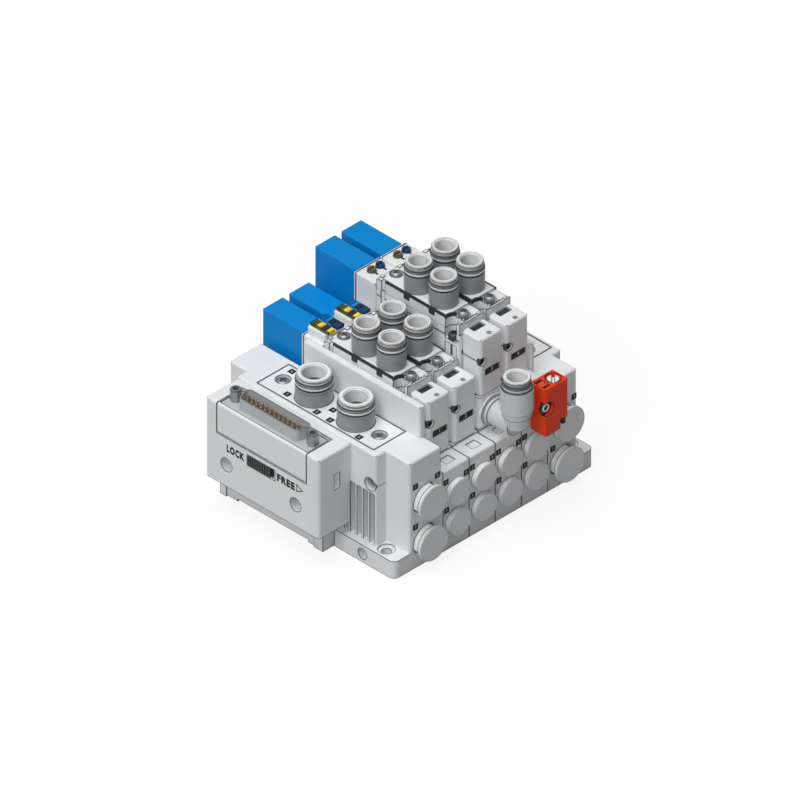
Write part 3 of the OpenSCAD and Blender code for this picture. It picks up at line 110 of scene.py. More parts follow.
class Signal:
    """Wraps a shader socket, so that shader maths reads as an ordinary expression."""

    def __init__(self, graph: "Graph", socket: Optional[bpy.types.NodeSocket]) -> None:
        """Keeps the socket and the graph that it belongs to."""
        self.graph = graph
        self.socket = socket

    def _maths(self, operation: str, *values: "Term") -> "Signal":
        """Adds one Math node.

        Args:
            operation: The node's operation.
            values: What goes into its sockets, in order.

        Returns:
            The node's result.
        """
        return self.graph.node("ShaderNodeMath", {"operation": operation}, dict(enumerate(values)))

    def __add__(self, other: "Term") -> "Signal":
        """Adds a value."""
        return self._maths("ADD", self, other)

    def __radd__(self, other: "Term") -> "Signal":
        """Adds this to a value."""
        return self._maths("ADD", other, self)

    def __sub__(self, other: "Term") -> "Signal":
        """Takes a value away."""
        return self._maths("SUBTRACT", self, other)

    def __rsub__(self, other: "Term") -> "Signal":
        """Takes this away from a value."""
        return self._maths("SUBTRACT", other, self)

    def __mul__(self, other: "Term") -> "Signal":
        """Multiplies by a value."""
        return self._maths("MULTIPLY", self, other)

    def __rmul__(self, other: "Term") -> "Signal":
        """Multiplies a value by this."""
        return self._maths("MULTIPLY", other, self)

    def __gt__(self, other: "Term") -> "Signal":
        """Gives 1 where this is above a value, else 0."""
        return self._maths("GREATER_THAN", self, other)

    def __lt__(self, other: "Term") -> "Signal":
        """Gives 1 where this is below a value, else 0."""
        return self._maths("LESS_THAN", self, other)

    def above(self, other: "Term") -> "Signal":
        """Takes the larger of this and a value."""
        return self._maths("MAXIMUM", self, other)

    def within(self, low: float, high: float) -> "Signal":
        """Gives 1 where this lies between two values, else 0."""
        return (self > low) * (self < high)

    def ramp(
        self, low: float, high: float, out_low: float = 0.0, out_high: float = 1.0
    ) -> "Signal":
        """Maps a range of values smoothly onto another.

        Args:
            low: Value that gives out_low.
            high: Value that gives out_high.
            out_low: Result at and below low.
            out_high: Result at and above high.

        Returns:
            The mapped value.
        """
        inputs = {
            "Value": self,
            "From Min": low,
            "From Max": high,
            "To Min": out_low,
            "To Max": out_high,
        }
        return self.graph.node("ShaderNodeMapRange", {"interpolation_type": "SMOOTHSTEP"}, inputs)


Term = Union[Signal, float]


class Graph:
    """A node tree that is built up from expressions."""

    def __init__(self, tree: bpy.types.NodeTree) -> None:
        """Starts with an empty tree."""
        self.tree = tree
        self.tree.nodes.clear()

    def node(
        self, kind: str, settings: dict, inputs: dict, output: Union[str, int] = 0
    ) -> Signal:
        """Adds any node.

        Args:
            kind: The node's type.
            settings: Properties that are set before its sockets.
            inputs: Sockets by name or number, each with a value or a link.
            output: The socket to return.

        Returns:
            The chosen output.
        """
        made = self.tree.nodes.new(kind)
        for key, value in settings.items():
            setattr(made, key, value)
        for key, value in inputs.items():
            if isinstance(value, Signal):
                self.tree.links.new(value.socket, made.inputs[key])
            else:
                made.inputs[key].default_value = value
        return Signal(self, made.outputs[output] if made.outputs else None)

    def ray(self, kind: str) -> Signal:
        """Gives 1 for one kind of ray, else 0."""
        return self.node("ShaderNodeLightPath", {}, {}, kind)

    def mix(
        self, share: Term, low: Union[Signal, Colour], high: Union[Signal, Colour]
    ) -> Signal:
        """Mixes two colours.

        Args:
            share: How much of the second colour shows.
            low: First colour.
            high: Second colour.

        Returns:
            The mixed colour.
        """
        first, second = (c if isinstance(c, Signal) else (*c, 1.0) for c in (low, high))
        settings = {"data_type": "RGBA", "blend_type": "MIX", "clamp_factor": True}
        return self.node("ShaderNodeMix", settings, {0: share, 6: first, 7: second}, 2)


class Paint(Graph):
    """One node material with a Principled shader and object coordinates."""

    # The edge finish looks at how open the inside of a piece is: less so along its edges
    EDGE_SAMPLES = 10
    OPEN_ON_FACES = 0.96
    OPEN_ON_EDGES = 0.76

    def __init__(self, name: str) -> None:
        """Starts the material."""
        self.material = bpy.data.materials.new(name)
        self.material.use_nodes = True
        super().__init__(self.material.node_tree)
        self.surface = self.node("ShaderNodeBsdfPrincipled", {}, {}, "BSDF")
        self.place = self.node("ShaderNodeTexCoord", {}, {}, "Object")

    def finished(self, surface: Optional[Signal] = None) -> bpy.types.Material:
        """Links the shader to the output.

        Args:
            surface: Another shader to show in place of the Principled one.

        Returns:
            The material.
        """
        self.node("ShaderNodeOutputMaterial", {}, {"Surface": surface or self.surface})
        return self.material

    def along(self, axis: int) -> Signal:
        """Gives the place along one axis, in the same millimetres that at_bench takes."""
        metres = self.node("ShaderNodeSeparateXYZ", {}, {0: self.place}, axis)
        return metres * PER_METRE + ORIGIN[axis]

    def noise(self, scale: float, detail: float, stretch: Point = (1.0, 1.0, 1.0)) -> Signal:
        """Adds noise over the surface.

        Args:
            scale: Cycles per metre.
            detail: Octaves.
            stretch: Scale of each axis.

        Returns:
            Noise from 0 to 1.
        """
        place = self.node("ShaderNodeMapping", {}, {"Vector": self.place, "Scale": stretch})
        inputs = {"Vector": place, "Scale": scale, "Detail": detail}
        return self.node("ShaderNodeTexNoise", {}, inputs)

    def edges(self, width: float) -> Signal:
        """Marks a narrow strip along the outer edges, where a piece is thin under its surface.

        Args:
            width: Width of the strip, in metres.

        Returns:
            1 on the edges, falling to 0 on the faces.
        """
        settings = {"samples": self.EDGE_SAMPLES, "inside": True, "only_local": True}
        openness = self.node("ShaderNodeAmbientOcclusion", settings, {"Distance": width}, "AO")
        return openness.ramp(self.OPEN_ON_FACES, self.OPEN_ON_EDGES)

    def set(self, **values: Union[Signal, float, Colour]) -> None:
        """Sets or links sockets of the shader, with _ in a name for a space."""
        shader = self.surface.socket.node
        for key, value in values.items():
            socket = shader.inputs[key.replace("_", " ")]
            if isinstance(value, Signal):
                self.tree.links.new(value.socket, socket)
            elif isinstance(value, tuple):
                socket.default_value = (*value, 1.0)
            else:
                socket.default_value = value

    def bump(self, height: Signal, depth: float) -> None:
        """Raises the surface by a height signal.

        Args:
            height: Height from 0 to 1.
            depth: Depth of a height of 1, in metres.
        """
        inputs = {"Height": height, "Distance": depth, "Strength": 1.0}
        self.set(Normal=self.node("ShaderNodeBump", {}, inputs))


def shade(colour: Colour, factor: float) -> Colour:
    """Makes a colour lighter or darker.

    Args:
        colour: Linear colour.
        factor: What it is multiplied by.

    Returns:
        The new colour.
    """
    return tuple(min(1.0, c * factor) for c in colour)


Overlay = Callable[[Paint, Signal], Signal]


@dataclass(frozen=True)
class MouldedPlastic:
    """Injection moulded plastic: fine grain, soft mottling, and a thin dark line on its edges."""

    name: str
    colour: Colour
    roughness: float = 0.42
    grain: float = 0.00002
    mottle: float = 0.035
    edge_line: float = 0.95
    edge_width: float = 0.00044
    edge_tone: Colour = (0.012, 0.013, 0.014)
    edge_cover: float = 0.95
    edge_wear: float = 0.12
    patchiness: float = 0.14
    cloud_scale: float = 90.0
    grain_scale: float = 5200.0
    shine: float = 0.35
    coat: float = 0.0
    coat_roughness: float = 0.2
    overlay: Optional[Overlay] = None

    def dressed(self) -> bpy.types.Material:
        """Makes the material.

        Returns:
            The material.
        """
        paint = Paint(self.name)
        cloud = paint.noise(self.cloud_scale, detail=4.0)
        fine = paint.noise(self.grain_scale, detail=2.0)
        dark = shade(self.colour, 1.0 - self.mottle)
        pale = shade(self.colour, 1.0 + self.mottle)
        base = paint.mix(cloud, dark, pale)
        if self.overlay:
            base = self.overlay(paint, base)
        edge = paint.edges(self.edge_width)
        line = paint.mix(self.edge_cover, base, self.edge_tone)
        smoothest = self.roughness - self.patchiness / 2
        paint.set(
            Base_Color=paint.mix(edge * self.edge_line, base, line),
            Roughness=cloud * self.patchiness + smoothest + edge * self.edge_wear,
            Coat_Weight=self.coat,
            Coat_Roughness=self.coat_roughness,
            Specular_IOR_Level=self.shine,
        )
        paint.bump(fine, self.grain)
        return paint.finished()


@dataclass(frozen=True)
class TurnedMetal:
    """Plated metal with the fine rings or brushing that machining leaves."""

    name: str
    colour: Colour
    roughness: float = 0.32
    stretch: Point = (1.0, 1.0, 14.0)
    metallic: float = 1.0
    edge_line: float = 0.75
    edge_width: float = 0.0003
    edge_tone: Colour = (0.02, 0.02, 0.022)
    stain_tones: Pair = (0.86, 1.08)
    stain_scale: float = 160.0
    stain_roughness: float = 0.08
    brush_scale: float = 900.0
    brush_roughness: float = 0.2
    brush_depth: float = 0.00001

    def dressed(self) -> bpy.types.Material:
        """Makes the material."""
        paint = Paint(self.name)
        brush = paint.noise(self.brush_scale, detail=3.0, stretch=self.stretch)
        stain = paint.noise(self.stain_scale, detail=4.0)
        dark, pale = (shade(self.colour, tone) for tone in self.stain_tones)
        base = paint.mix(stain, dark, pale)
        edge = paint.edges(self.edge_width)
        smoothest = self.roughness - self.brush_roughness / 2
        paint.set(
            Base_Color=paint.mix(edge * self.edge_line, base, self.edge_tone),
            Metallic=self.metallic,
            Roughness=brush * self.brush_roughness + smoothest + stain * self.stain_roughness,
        )
        paint.bump(brush, self.brush_depth)
        return paint.finished()


@dataclass(frozen=True)
class SealRubber:
    """Moulded nitrile rubber with a dusty bloom."""

    name: str = "seal_rubber"
    colour: Colour = (0.02, 0.02, 0.021)
    bloom_tone: Colour = (0.07, 0.07, 0.072)
    bloom_scale: float = 420.0
    bloom_range: Pair = (0.35, 0.75)
    bloom_roughness: float = 0.2
    bloom_depth: float = 0.00003
    smoothest: float = 0.62

    def dressed(self) -> bpy.types.Material:
        """Makes the material."""
        paint = Paint(self.name)
        bloom = paint.noise(self.bloom_scale, detail=5.0)
        paint.set(
            Base_Color=paint.mix(bloom.ramp(*self.bloom_range), self.colour, self.bloom_tone),
            Roughness=bloom * self.bloom_roughness + self.smoothest,
        )
        paint.bump(bloom, self.bloom_depth)
        return paint.finished()


Finish = Union[MouldedPlastic, TurnedMetal, SealRubber]

# Painted shade for the grooves of the fittings and the elbow
PAINTED_GROOVE_SHADE = (0.018, 0.018, 0.019)
PALE_COLLAR = (0.80, 0.81, 0.82)
# Darker brown tone of a yellow slide's thumb grip
GRIP_BROWN = (0.16, 0.10, 0.02)
# Painted shade on the left side of a yellow slide
SLIDE_EDGE_SHADE = (0.05, 0.038, 0.012)
NIGHT_BLUE = (0.012, 0.055, 0.16)
# How much of the painted shade shows in the grooves and on a slide's left edge
PAINTED_SHADE_COVER = 0.9
GRIP_BROWN_COVER = 0.45
# Left edge of the yellow slide on the first station, where shade is painted
SLIDE_EDGE_SPAN = (32.0, 33.75)
# Parts of a slide behind its front
GRIP_SPAN = (7.2, 12.0)
NOSE_SPAN = (-1.0, 4.2)


def pale_collars(paint: Paint, base: Signal) -> Signal:
    """Makes the upper part of each tube fitting pale, with painted shade as dark bands in the
    grooves round it.

    Args:
        paint: The material.
        base: Its colour so far.

    Returns:
        The colour with the collars in it.
    """
    height = paint.along(2)
    collars = sum(height.within(top - COLLAR_DROP, top + COLLAR_RISE) for top in FITTING_TOPS)
    spans = [(top - low, top - high) for top in FITTING_TOPS for low, high in GROOVES]
    spans.append(tuple(FITTING_TOPS[0] - drop for drop in SUPPLY_GROOVE))
    grooves = sum(height.within(*span) for span in spans)
    return paint.mix(grooves * PAINTED_SHADE_COVER, paint.mix(collars, base, PALE_COLLAR), PAINTED_GROOVE_SHADE)


def elbow_grooves(paint: Paint, base: Signal) -> Signal:
    """Paints shade as dark bands into the grooves round the top of the elbow."""
    height = paint.along(2)
    grooves = sum(height.within(ELBOW_TOP - low, ELBOW_TOP - high) for low, high in GROOVES[1:])
    return paint.mix(grooves * PAINTED_SHADE_COVER, base, PAINTED_GROOVE_SHADE)


def tarnished_grip(paint: Paint, base: Signal) -> Signal:
    """Gives the thumb grip at the back of a yellow slide a darker brown tone, and paints shade
    along its left edge.
    """
    grip = paint.along(1).within(*(SLIDE_FRONT + end for end in GRIP_SPAN))
    across = paint.along(0)
    left, right = SLIDE_EDGE_SPAN
    edges = across.within(left, right) + across.within(left + PITCH, right + PITCH)
    base = paint.mix(grip * GRIP_BROWN_COVER, base, GRIP_BROWN)
    return paint.mix(edges * PAINTED_SHADE_COVER, base, SLIDE_EDGE_SHADE)


def dark_nose(paint: Paint, base: Signal) -> Signal:
    """Makes the front of a blue slide dark blue."""
    nose = paint.along(1).within(*(SLIDE_FRONT + end for end in NOSE_SPAN))
    return paint.mix(nose, base, NIGHT_BLUE)


SMALL_EDGE = 0.0002
BODY = MouldedPlastic("moulded_grey", (0.80, 0.815, 0.83))
VALVE = MouldedPlastic("valve_grey", (0.79, 0.805, 0.82), roughness=0.38)
FITTING = MouldedPlastic(
    "fitting_grey", (0.29, 0.31, 0.32), roughness=0.34, coat=0.15, overlay=pale_collars
)
RING = MouldedPlastic("ring_grey", (0.83, 0.84, 0.85), roughness=0.36, edge_width=0.0006)
ELBOW = MouldedPlastic("elbow_grey", (0.62, 0.64, 0.655), roughness=0.36, overlay=elbow_grooves)
# Darker than the ring grey: painted shade standing for the knurled band's valleys
SHADED_KNURL = MouldedPlastic("knurl_shaded_grey", (0.42, 0.43, 0.44), roughness=0.4, edge_line=0.8)
PLUG = MouldedPlastic("plug_grey", (0.78, 0.795, 0.81), roughness=0.4)
BLUE = MouldedPlastic("pilot_blue", (0.001, 0.235, 0.62), shine=0.12)
SLIDE_BLUE = MouldedPlastic(
    "slide_blue",
    (0.004, 0.23, 0.60),
    roughness=0.36,
    shine=0.15,
    edge_width=SMALL_EDGE,
    overlay=dark_nose,
)
ORANGE = MouldedPlastic("stop_orange", (0.82, 0.055, 0.012), roughness=0.4, shine=0.15)
YELLOW = MouldedPlastic(
    "signal_yellow",
    (0.95, 0.72, 0.03),
    roughness=0.4,
    edge_width=SMALL_EDGE,
    overlay=tarnished_grip,
)
OLIVE = MouldedPlastic(
    "button_olive", (0.13, 0.105, 0.045), roughness=0.45, edge_width=SMALL_EDGE
)
DARK_BLUE = MouldedPlastic("button_blue", (0.010, 0.045, 0.12), edge_width=SMALL_EDGE)
BLACK = MouldedPlastic("clip_black", (0.012, 0.012, 0.013), roughness=0.46, edge_line=0.0)
INSULATOR = MouldedPlastic(
    "insulator", (0.16, 0.165, 0.17), roughness=0.5, edge_width=SMALL_EDGE
)
RIBBED = MouldedPlastic(
    "ribbed_black", (0.012, 0.012, 0.013), edge_line=0.75, edge_tone=(0.15, 0.155, 0.16)
)
CLIP = TurnedMetal("clip_steel", (0.035, 0.036, 0.038), roughness=0.5, metallic=0.3)
STEEL = TurnedMetal("steel", (0.56, 0.57, 0.58))
PLATED = TurnedMetal("plated_steel", (0.36, 0.365, 0.37), roughness=0.36, metallic=0.7)
DARK_STEEL = TurnedMetal("blackened_steel", (0.07, 0.07, 0.073), roughness=0.42, metallic=0.6)
TIN = TurnedMetal(
    "tinned_shell", (0.52, 0.55, 0.57), roughness=0.45, stretch=(1.0, 12.0, 1.0), metallic=0.15
)
GOLD = TurnedMetal("gold", (0.74, 0.54, 0.27), roughness=0.3)
SMOKED = MouldedPlastic(
    "smoked_window", (0.02, 0.02, 0.022), roughness=0.18, edge_line=0.0, coat=0.4
)
ORANGE_PRINT = MouldedPlastic(
    "pointer_orange", (0.82, 0.06, 0.014), roughness=0.45, edge_line=0.0
)
LABEL = MouldedPlastic("printed_grey", (0.80, 0.815, 0.83), edge_line=0.0)
INK = MouldedPlastic("printed_ink", (0.010, 0.010, 0.011), roughness=0.55, edge_line=0.0)
WHITE_INK = MouldedPlastic("printed_white", (0.78, 0.78, 0.77), roughness=0.55, edge_line=0.0)

# Each of these has the name of its slot in the record
SLOT_FINISHES: dict[str, Finish] = {
    finish.name: finish
    for finish in (
        BODY, VALVE, FITTING, PLUG, RING, BLUE, ORANGE, YELLOW, OLIVE, DARK_BLUE, BLACK,
        CLIP, SealRubber(), STEEL, TIN, INSULATOR, GOLD,
    )
}

# Nodes that differ a little from the rest of their slot
NODE_FINISHES: dict[str, Finish] = {
    "elbow_body": ELBOW,
    "lock_slider": RIBBED,
    "cover_screws": DARK_STEEL,
    "jack_screws": PLATED,
    "plate_screws": PLATED,
    "valve_screws": PLATED,
    "override_slide_1b": SLIDE_BLUE,
    "override_slide_2b": SLIDE_BLUE,
}


def deselect() -> None:
    """Leaves nothing selected, in object mode."""
    if bpy.context.object and bpy.context.object.mode != "OBJECT":
        bpy.ops.object.mode_set(mode="OBJECT")
    bpy.ops.object.select_all(action="DESELECT")


def settle(obj: bpy.types.Object) -> bpy.types.Object:
    """Puts the place of a piece into its mesh, so that its object sits at the origin.

    Args:
        obj: The piece.

    Returns:
        The same piece.
    """
    deselect()
    obj.select_set(True)
    bpy.context.view_layer.objects.active = obj
    bpy.ops.object.transform_apply(location=True, rotation=True, scale=True)
    deselect()
    return obj


@dataclass
class Trim:
    """Registers what is added: its name, its finish and the body that it rides on."""

    finishes: dict[str, bpy.types.Material] = field(default_factory=dict)
    made: int = 0

    def finish(self, finish: Finish) -> bpy.types.Material:
        """Gives a finish's material, which is made once."""
        if finish.name not in self.finishes:
            self.finishes[finish.name] = finish.dressed()
        return self.finishes[finish.name]

    def add(
        self, obj: bpy.types.Object, name: str, finish: Finish, body: str, slot: str
    ) -> None:
        """Names, dresses and attaches a new piece.

        Args:
            obj: The finished mesh.
            name: Its name.
            finish: Its finish.
            body: The body that it rides on.
            slot: The record's slot for its finish; not used.
        """
        settle(obj)
        obj.name = name
        obj.data.name = name
        obj.data.materials.clear()
        obj.data.materials.append(self.finish(finish))
        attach(obj, body)
        self.made += 1


class Facing(Enum):
    """Which way a flat mark looks: its right and its up direction."""

    TOP = (Vector((1.0, 0.0, 0.0)), Vector((0.0, 1.0, 0.0)))
    TOP_FROM_LEFT = (Vector((0.0, -1.0, 0.0)), Vector((1.0, 0.0, 0.0)))
    FRONT = (Vector((1.0, 0.0, 0.0)), Vector((0.0, 0.0, 1.0)))
    LEFT = (Vector((0.0, -1.0, 0.0)), Vector((0.0, 0.0, 1.0)))

    def outward(self) -> Vector:
        """Gives the direction that the mark looks in."""
        right, up = self.value
        return right.cross(up)

    def turn(self) -> Matrix:
        """Gives the rotation from the XY plane to this face."""
        right, up = self.value
        return Matrix((right, up, self.outward())).transposed().to_4x4()

    def placed(self, obj: bpy.types.Object, place: Vector) -> bpy.types.Object:
        """Turns a piece that was made in the XY plane to this face, and moves it to its place."""
        obj.matrix_world = Matrix.Translation(place) @ self.turn()
        return obj

    def off(self, place: Vector, height: float) -> Vector:
        """Moves a place off the face by some millimetres."""
        return place + self.outward() * height * MM


@dataclass(frozen=True)
class Sun:
    """A soft sun.

    Attributes:
        name: Name of the lamp.
        toward: Direction from the object to the lamp.
        strength: Its strength.
        spread: Its apparent size in degrees, which softens the shadows.
        shadow: Whether it casts shadows at all, or fills evenly as in the photograph.
    """

    name: str
    toward: Point
    strength: float
    spread: float
    shadow: bool = True

    def light(self) -> None:
        """Adds the lamp."""
        bpy.ops.object.light_add(type="SUN", location=(0.0, 0.0, 1.0))
        lamp = bpy.context.object
        lamp.name = self.name
        lamp.rotation_euler = Vector(self.toward).to_track_quat("Z", "Y").to_euler()
        lamp.data.energy = self.strength
        lamp.data.angle = math.radians(self.spread)
        lamp.data.use_shadow = self.shadow


@dataclass
class Studio:
    """Camera, lights, floor and backdrop, for a true isometric view with no perspective."""

    target: Vector = field(default_factory=lambda: at_bench(57.51, 53.84, 40.0))
    frame_width: float = 0.3464
    distance: float = 1.2
    reach: float = 20.0
    suns: tuple[Sun, ...] = (
        Sun("sun_above", (-0.12, 0.1, 1.0), 1.8, 50.0),
        Sun("sun_left", (-1.0, -0.2, 0.85), 0.75, 30.0),
        Sun("fill_left", (-1.0, -0.2, 0.85), 0.65, 30.0, shadow=False),
    )
    fill: float = 0.115
    mirrored: float = 0.45
    white: tuple[float, ...] = (1.0, 1.0, 1.0, 1.0)
    floor_size: float = 6.0
    floor_drop: float = 0.0001
    floor_glow: float = 0.85
    floor_patches: float = 3.0
    # The tone of the floor as it lights the object, and its tones in view
    floor_bounce: Colour = (0.36, 0.36, 0.36)
    floor_tones: tuple[Colour, Colour] = ((0.93, 0.93, 0.93), (0.95, 0.95, 0.95))

    def camera(self) -> None:
        """Aims the camera along the diagonal of a cube."""
        toward = Vector((-1.0, -1.0, 1.0)).normalized()
        bpy.ops.object.camera_add(location=self.target + toward * self.distance)
        camera = bpy.context.object
        camera.rotation_euler = toward.to_track_quat("Z", "Y").to_euler()
        camera.data.type = "ORTHO"
        camera.data.ortho_scale = self.frame_width
        camera.data.clip_end = self.reach
        bpy.context.scene.camera = camera

    def seen(self, graph: Graph) -> Signal:
        """Tells what is looked at, straight or through something, from what lights the object.

        Args:
            graph: The node tree that asks.

        Returns:
            1 for what is looked at, less for what is mirrored, and 0 for light.
        """
        mirrored = graph.ray("Is Glossy Ray") * self.mirrored
        return graph.ray("Is Camera Ray").above(mirrored).above(graph.ray("Is Transmission Ray"))

    def surround(self) -> None:
        """Gives a pale surround: white in view, greyer in reflections, and a dim fill as light."""
        world = bpy.data.worlds.new("pale_surround")
        world.use_nodes = True
        bpy.context.scene.world = world
        graph = Graph(world.node_tree)
        inputs = {"Color": self.white, "Strength": self.seen(graph).above(self.fill)}
        back = graph.node("ShaderNodeBackground", {}, inputs)
        graph.node("ShaderNodeOutputWorld", {}, {"Surface": back})

    def floor(self) -> None:
        """Lays a plain pale floor that keeps the object's soft shadow."""
        place = (0.0, 0.0, -self.floor_drop)
        bpy.ops.mesh.primitive_plane_add(size=self.floor_size, location=place)
        floor = settle(bpy.context.object)
        floor.name = "studio_floor"
        paint = Paint("studio_floor")
        seen = self.seen(paint)
        pale = paint.mix(paint.noise(self.floor_patches, detail=3.0), *self.floor_tones)
        colour = paint.mix(seen, self.floor_bounce, pale)
        paint.set(Base_Color=colour, Roughness=0.9, Specular_IOR_Level=0.0)
        glow = paint.node("ShaderNodeEmission", {}, {"Color": self.white, "Strength": 1.0})
        shaders = {0: seen * self.floor_glow, 1: paint.surface, 2: glow}
        floor.data.materials.append(paint.finished(paint.node("ShaderNodeMixShader", {}, shaders)))

    def build(self) -> None:
        """Sets up the camera, the lights and the floor."""
        bpy.context.scene.view_settings.view_transform = "Standard"
        self.camera()
        for sun in self.suns:
            sun.light()
        self.surround()
        self.floor()


@dataclass(frozen=True)
class Lettering:
    """Printed marks: words, numerals, fields and arrows, each a thin layer on its face.

    Attributes:
        ink: Thickness of a printed word in millimetres.
        capital: Height of a capital as a share of the font's size.
        curve: Steps in each curve of a letter.
        softening: Rounding of a field's corners as a share of its smallest measure.
        layers: How many layers' thickness count as such a measure.
    """

    ink: float = 0.05
    capital: float = 0.69
    curve: int = 3
    softening: float = 0.08
    layers: float = 4.0

    def word(
        self,
        text: str,
        centre: Vector,
        height: float,
        facing: Facing,
        width: float = 0.0,
        weight: float = 0.0,
        spacing: float = 1.0,
    ) -> bpy.types.Object:
        """Prints a word.

        Args:
            text: What it says.
            centre: Middle of the word, on the face.
            height: Height of its capitals, in millimetres.
            facing: The face that it stands on.
            width: Width that it is fitted to, in millimetres, or 0 to leave it.
            weight: How far its strokes are thickened, in millimetres.
            spacing: Share of the usual space between its letters.

        Returns:
            The word as a mesh.
        """
        bpy.ops.object.text_add()
        letters = bpy.context.object
        letters.data.body = text
        letters.data.size = height * MM / self.capital
        letters.data.align_x = "CENTER"
        letters.data.align_y = "CENTER"
        letters.data.extrude = self.ink * MM / 2
        letters.data.offset = weight * MM
        letters.data.space_character = spacing
        letters.data.resolution_u = self.curve
        bpy.ops.object.convert(target="MESH")
        letters = bpy.context.object
        if width:
            letters.scale.x = width * MM / letters.dimensions.x
            settle(letters)
        return settle(facing.placed(letters, centre))

    def plate(
        self, centre: Vector, width: float, height: float, facing: Facing, layer: float
    ) -> bpy.types.Object:
        """Lays a thin field of ink with softened corners.

        Args:
            centre: Middle of the field, on the face.
            width: Its width in millimetres.
            height: Its height in millimetres.
            facing: The face that it lies on.
            layer: Its thickness in millimetres.

        Returns:
            The field as a mesh.
        """
        bpy.ops.mesh.primitive_cube_add(size=1.0)
        slab = bpy.context.object
        slab.scale = (width * MM, height * MM, layer * MM)
        settle(slab)
        corners = slab.modifiers.new("corners", "BEVEL")
        corners.width = min(width, height, layer * self.layers) * self.softening * MM
        corners.segments = 2
        bpy.context.view_layer.objects.active = slab
        bpy.ops.object.modifier_apply(modifier="corners")
        return settle(facing.placed(slab, centre))

    def arrow(
        self, tip: Vector, length: float, height: float, facing: Facing
    ) -> bpy.types.Object:
        """Prints a solid triangle that points to the right of its face.

        Args:
            tip: Its point.
            length: Its length in millimetres.
            height: Its height in millimetres.
            facing: The face that it stands on.

        Returns:
            The arrow as a mesh.
        """
        bpy.ops.mesh.primitive_cylinder_add(vertices=3, radius=1.0, depth=self.ink * MM)
        arrow = bpy.context.object
        arrow.rotation_euler.z = -math.pi / 2
        settle(arrow)
        # A triangle with corners 1 from its middle is 1.5 long and the root of 3 wide
        reach = length * MM / 1.5
        arrow.scale = (reach, height * MM / math.sqrt(3.0), 1.0)
        arrow.location.x = -reach
        settle(arrow)
        return settle(facing.placed(arrow, tip))


@dataclass
class ConnectorMarks:
    """The words beside the slide lock, and the arrow that shows which way it frees the connector.

    Attributes:
        trim: Registers the pieces.
        face_x: Where the end face is.
        height: Height of the words' middle.
        words: Each word, its middle across the face, and its name.
        capital: Height of the capitals.
        width: Width of each word.
        weight: How far the strokes are thickened.
        spacing: Share of the usual space between letters.
        proud: How far each layer of print lies before the last.
        arrow_rise: How much higher the arrow's middle is than the words'.
        arrow: The arrow's point across the face, its length and its height.
        hollow: The same for its pale inside.
    """

    trim: Trim
    face_x: float = -16.3
    height: float = 35.2
    words: tuple = (("LOCK", 81.0, "mark_lock"), ("FREE", 50.0, "mark_free"))
    capital: float = 3.4
    width: float = 10.9
    weight: float = 0.3
    spacing: float = 1.2
    proud: float = 0.01
    arrow_rise: float = 0.3
    arrow: Point = (39.2, 4.3, 4.2)
    hollow: Point = (40.35, 2.7, 2.6)

    def build(self) -> None:
        """Prints both words and the hollow arrow."""
        pen = Lettering()
        fit = (self.width, self.weight, self.spacing)
        print_x = self.face_x - self.proud
        for text, y, name in self.words:
            centre = at_bench(print_x, y, self.height)
            word = pen.word(text, centre, self.capital, Facing.LEFT, *fit)
            self.trim.add(word, name, INK, "base", "clip_black")
        arrow_z = self.height + self.arrow_rise
        tip_y, length, height = self.arrow
        arrow = pen.arrow(at_bench(print_x, tip_y, arrow_z), length, height, Facing.LEFT)
        self.trim.add(arrow, "mark_arrow", INK, "base", "clip_black")
        tip_y, length, height = self.hollow
        inside = at_bench(print_x - self.proud, tip_y, arrow_z)
        hollow = pen.arrow(inside, length, height, Facing.LEFT)
        self.trim.add(hollow, "mark_arrow_inside", LABEL, "base", "moulded_grey")


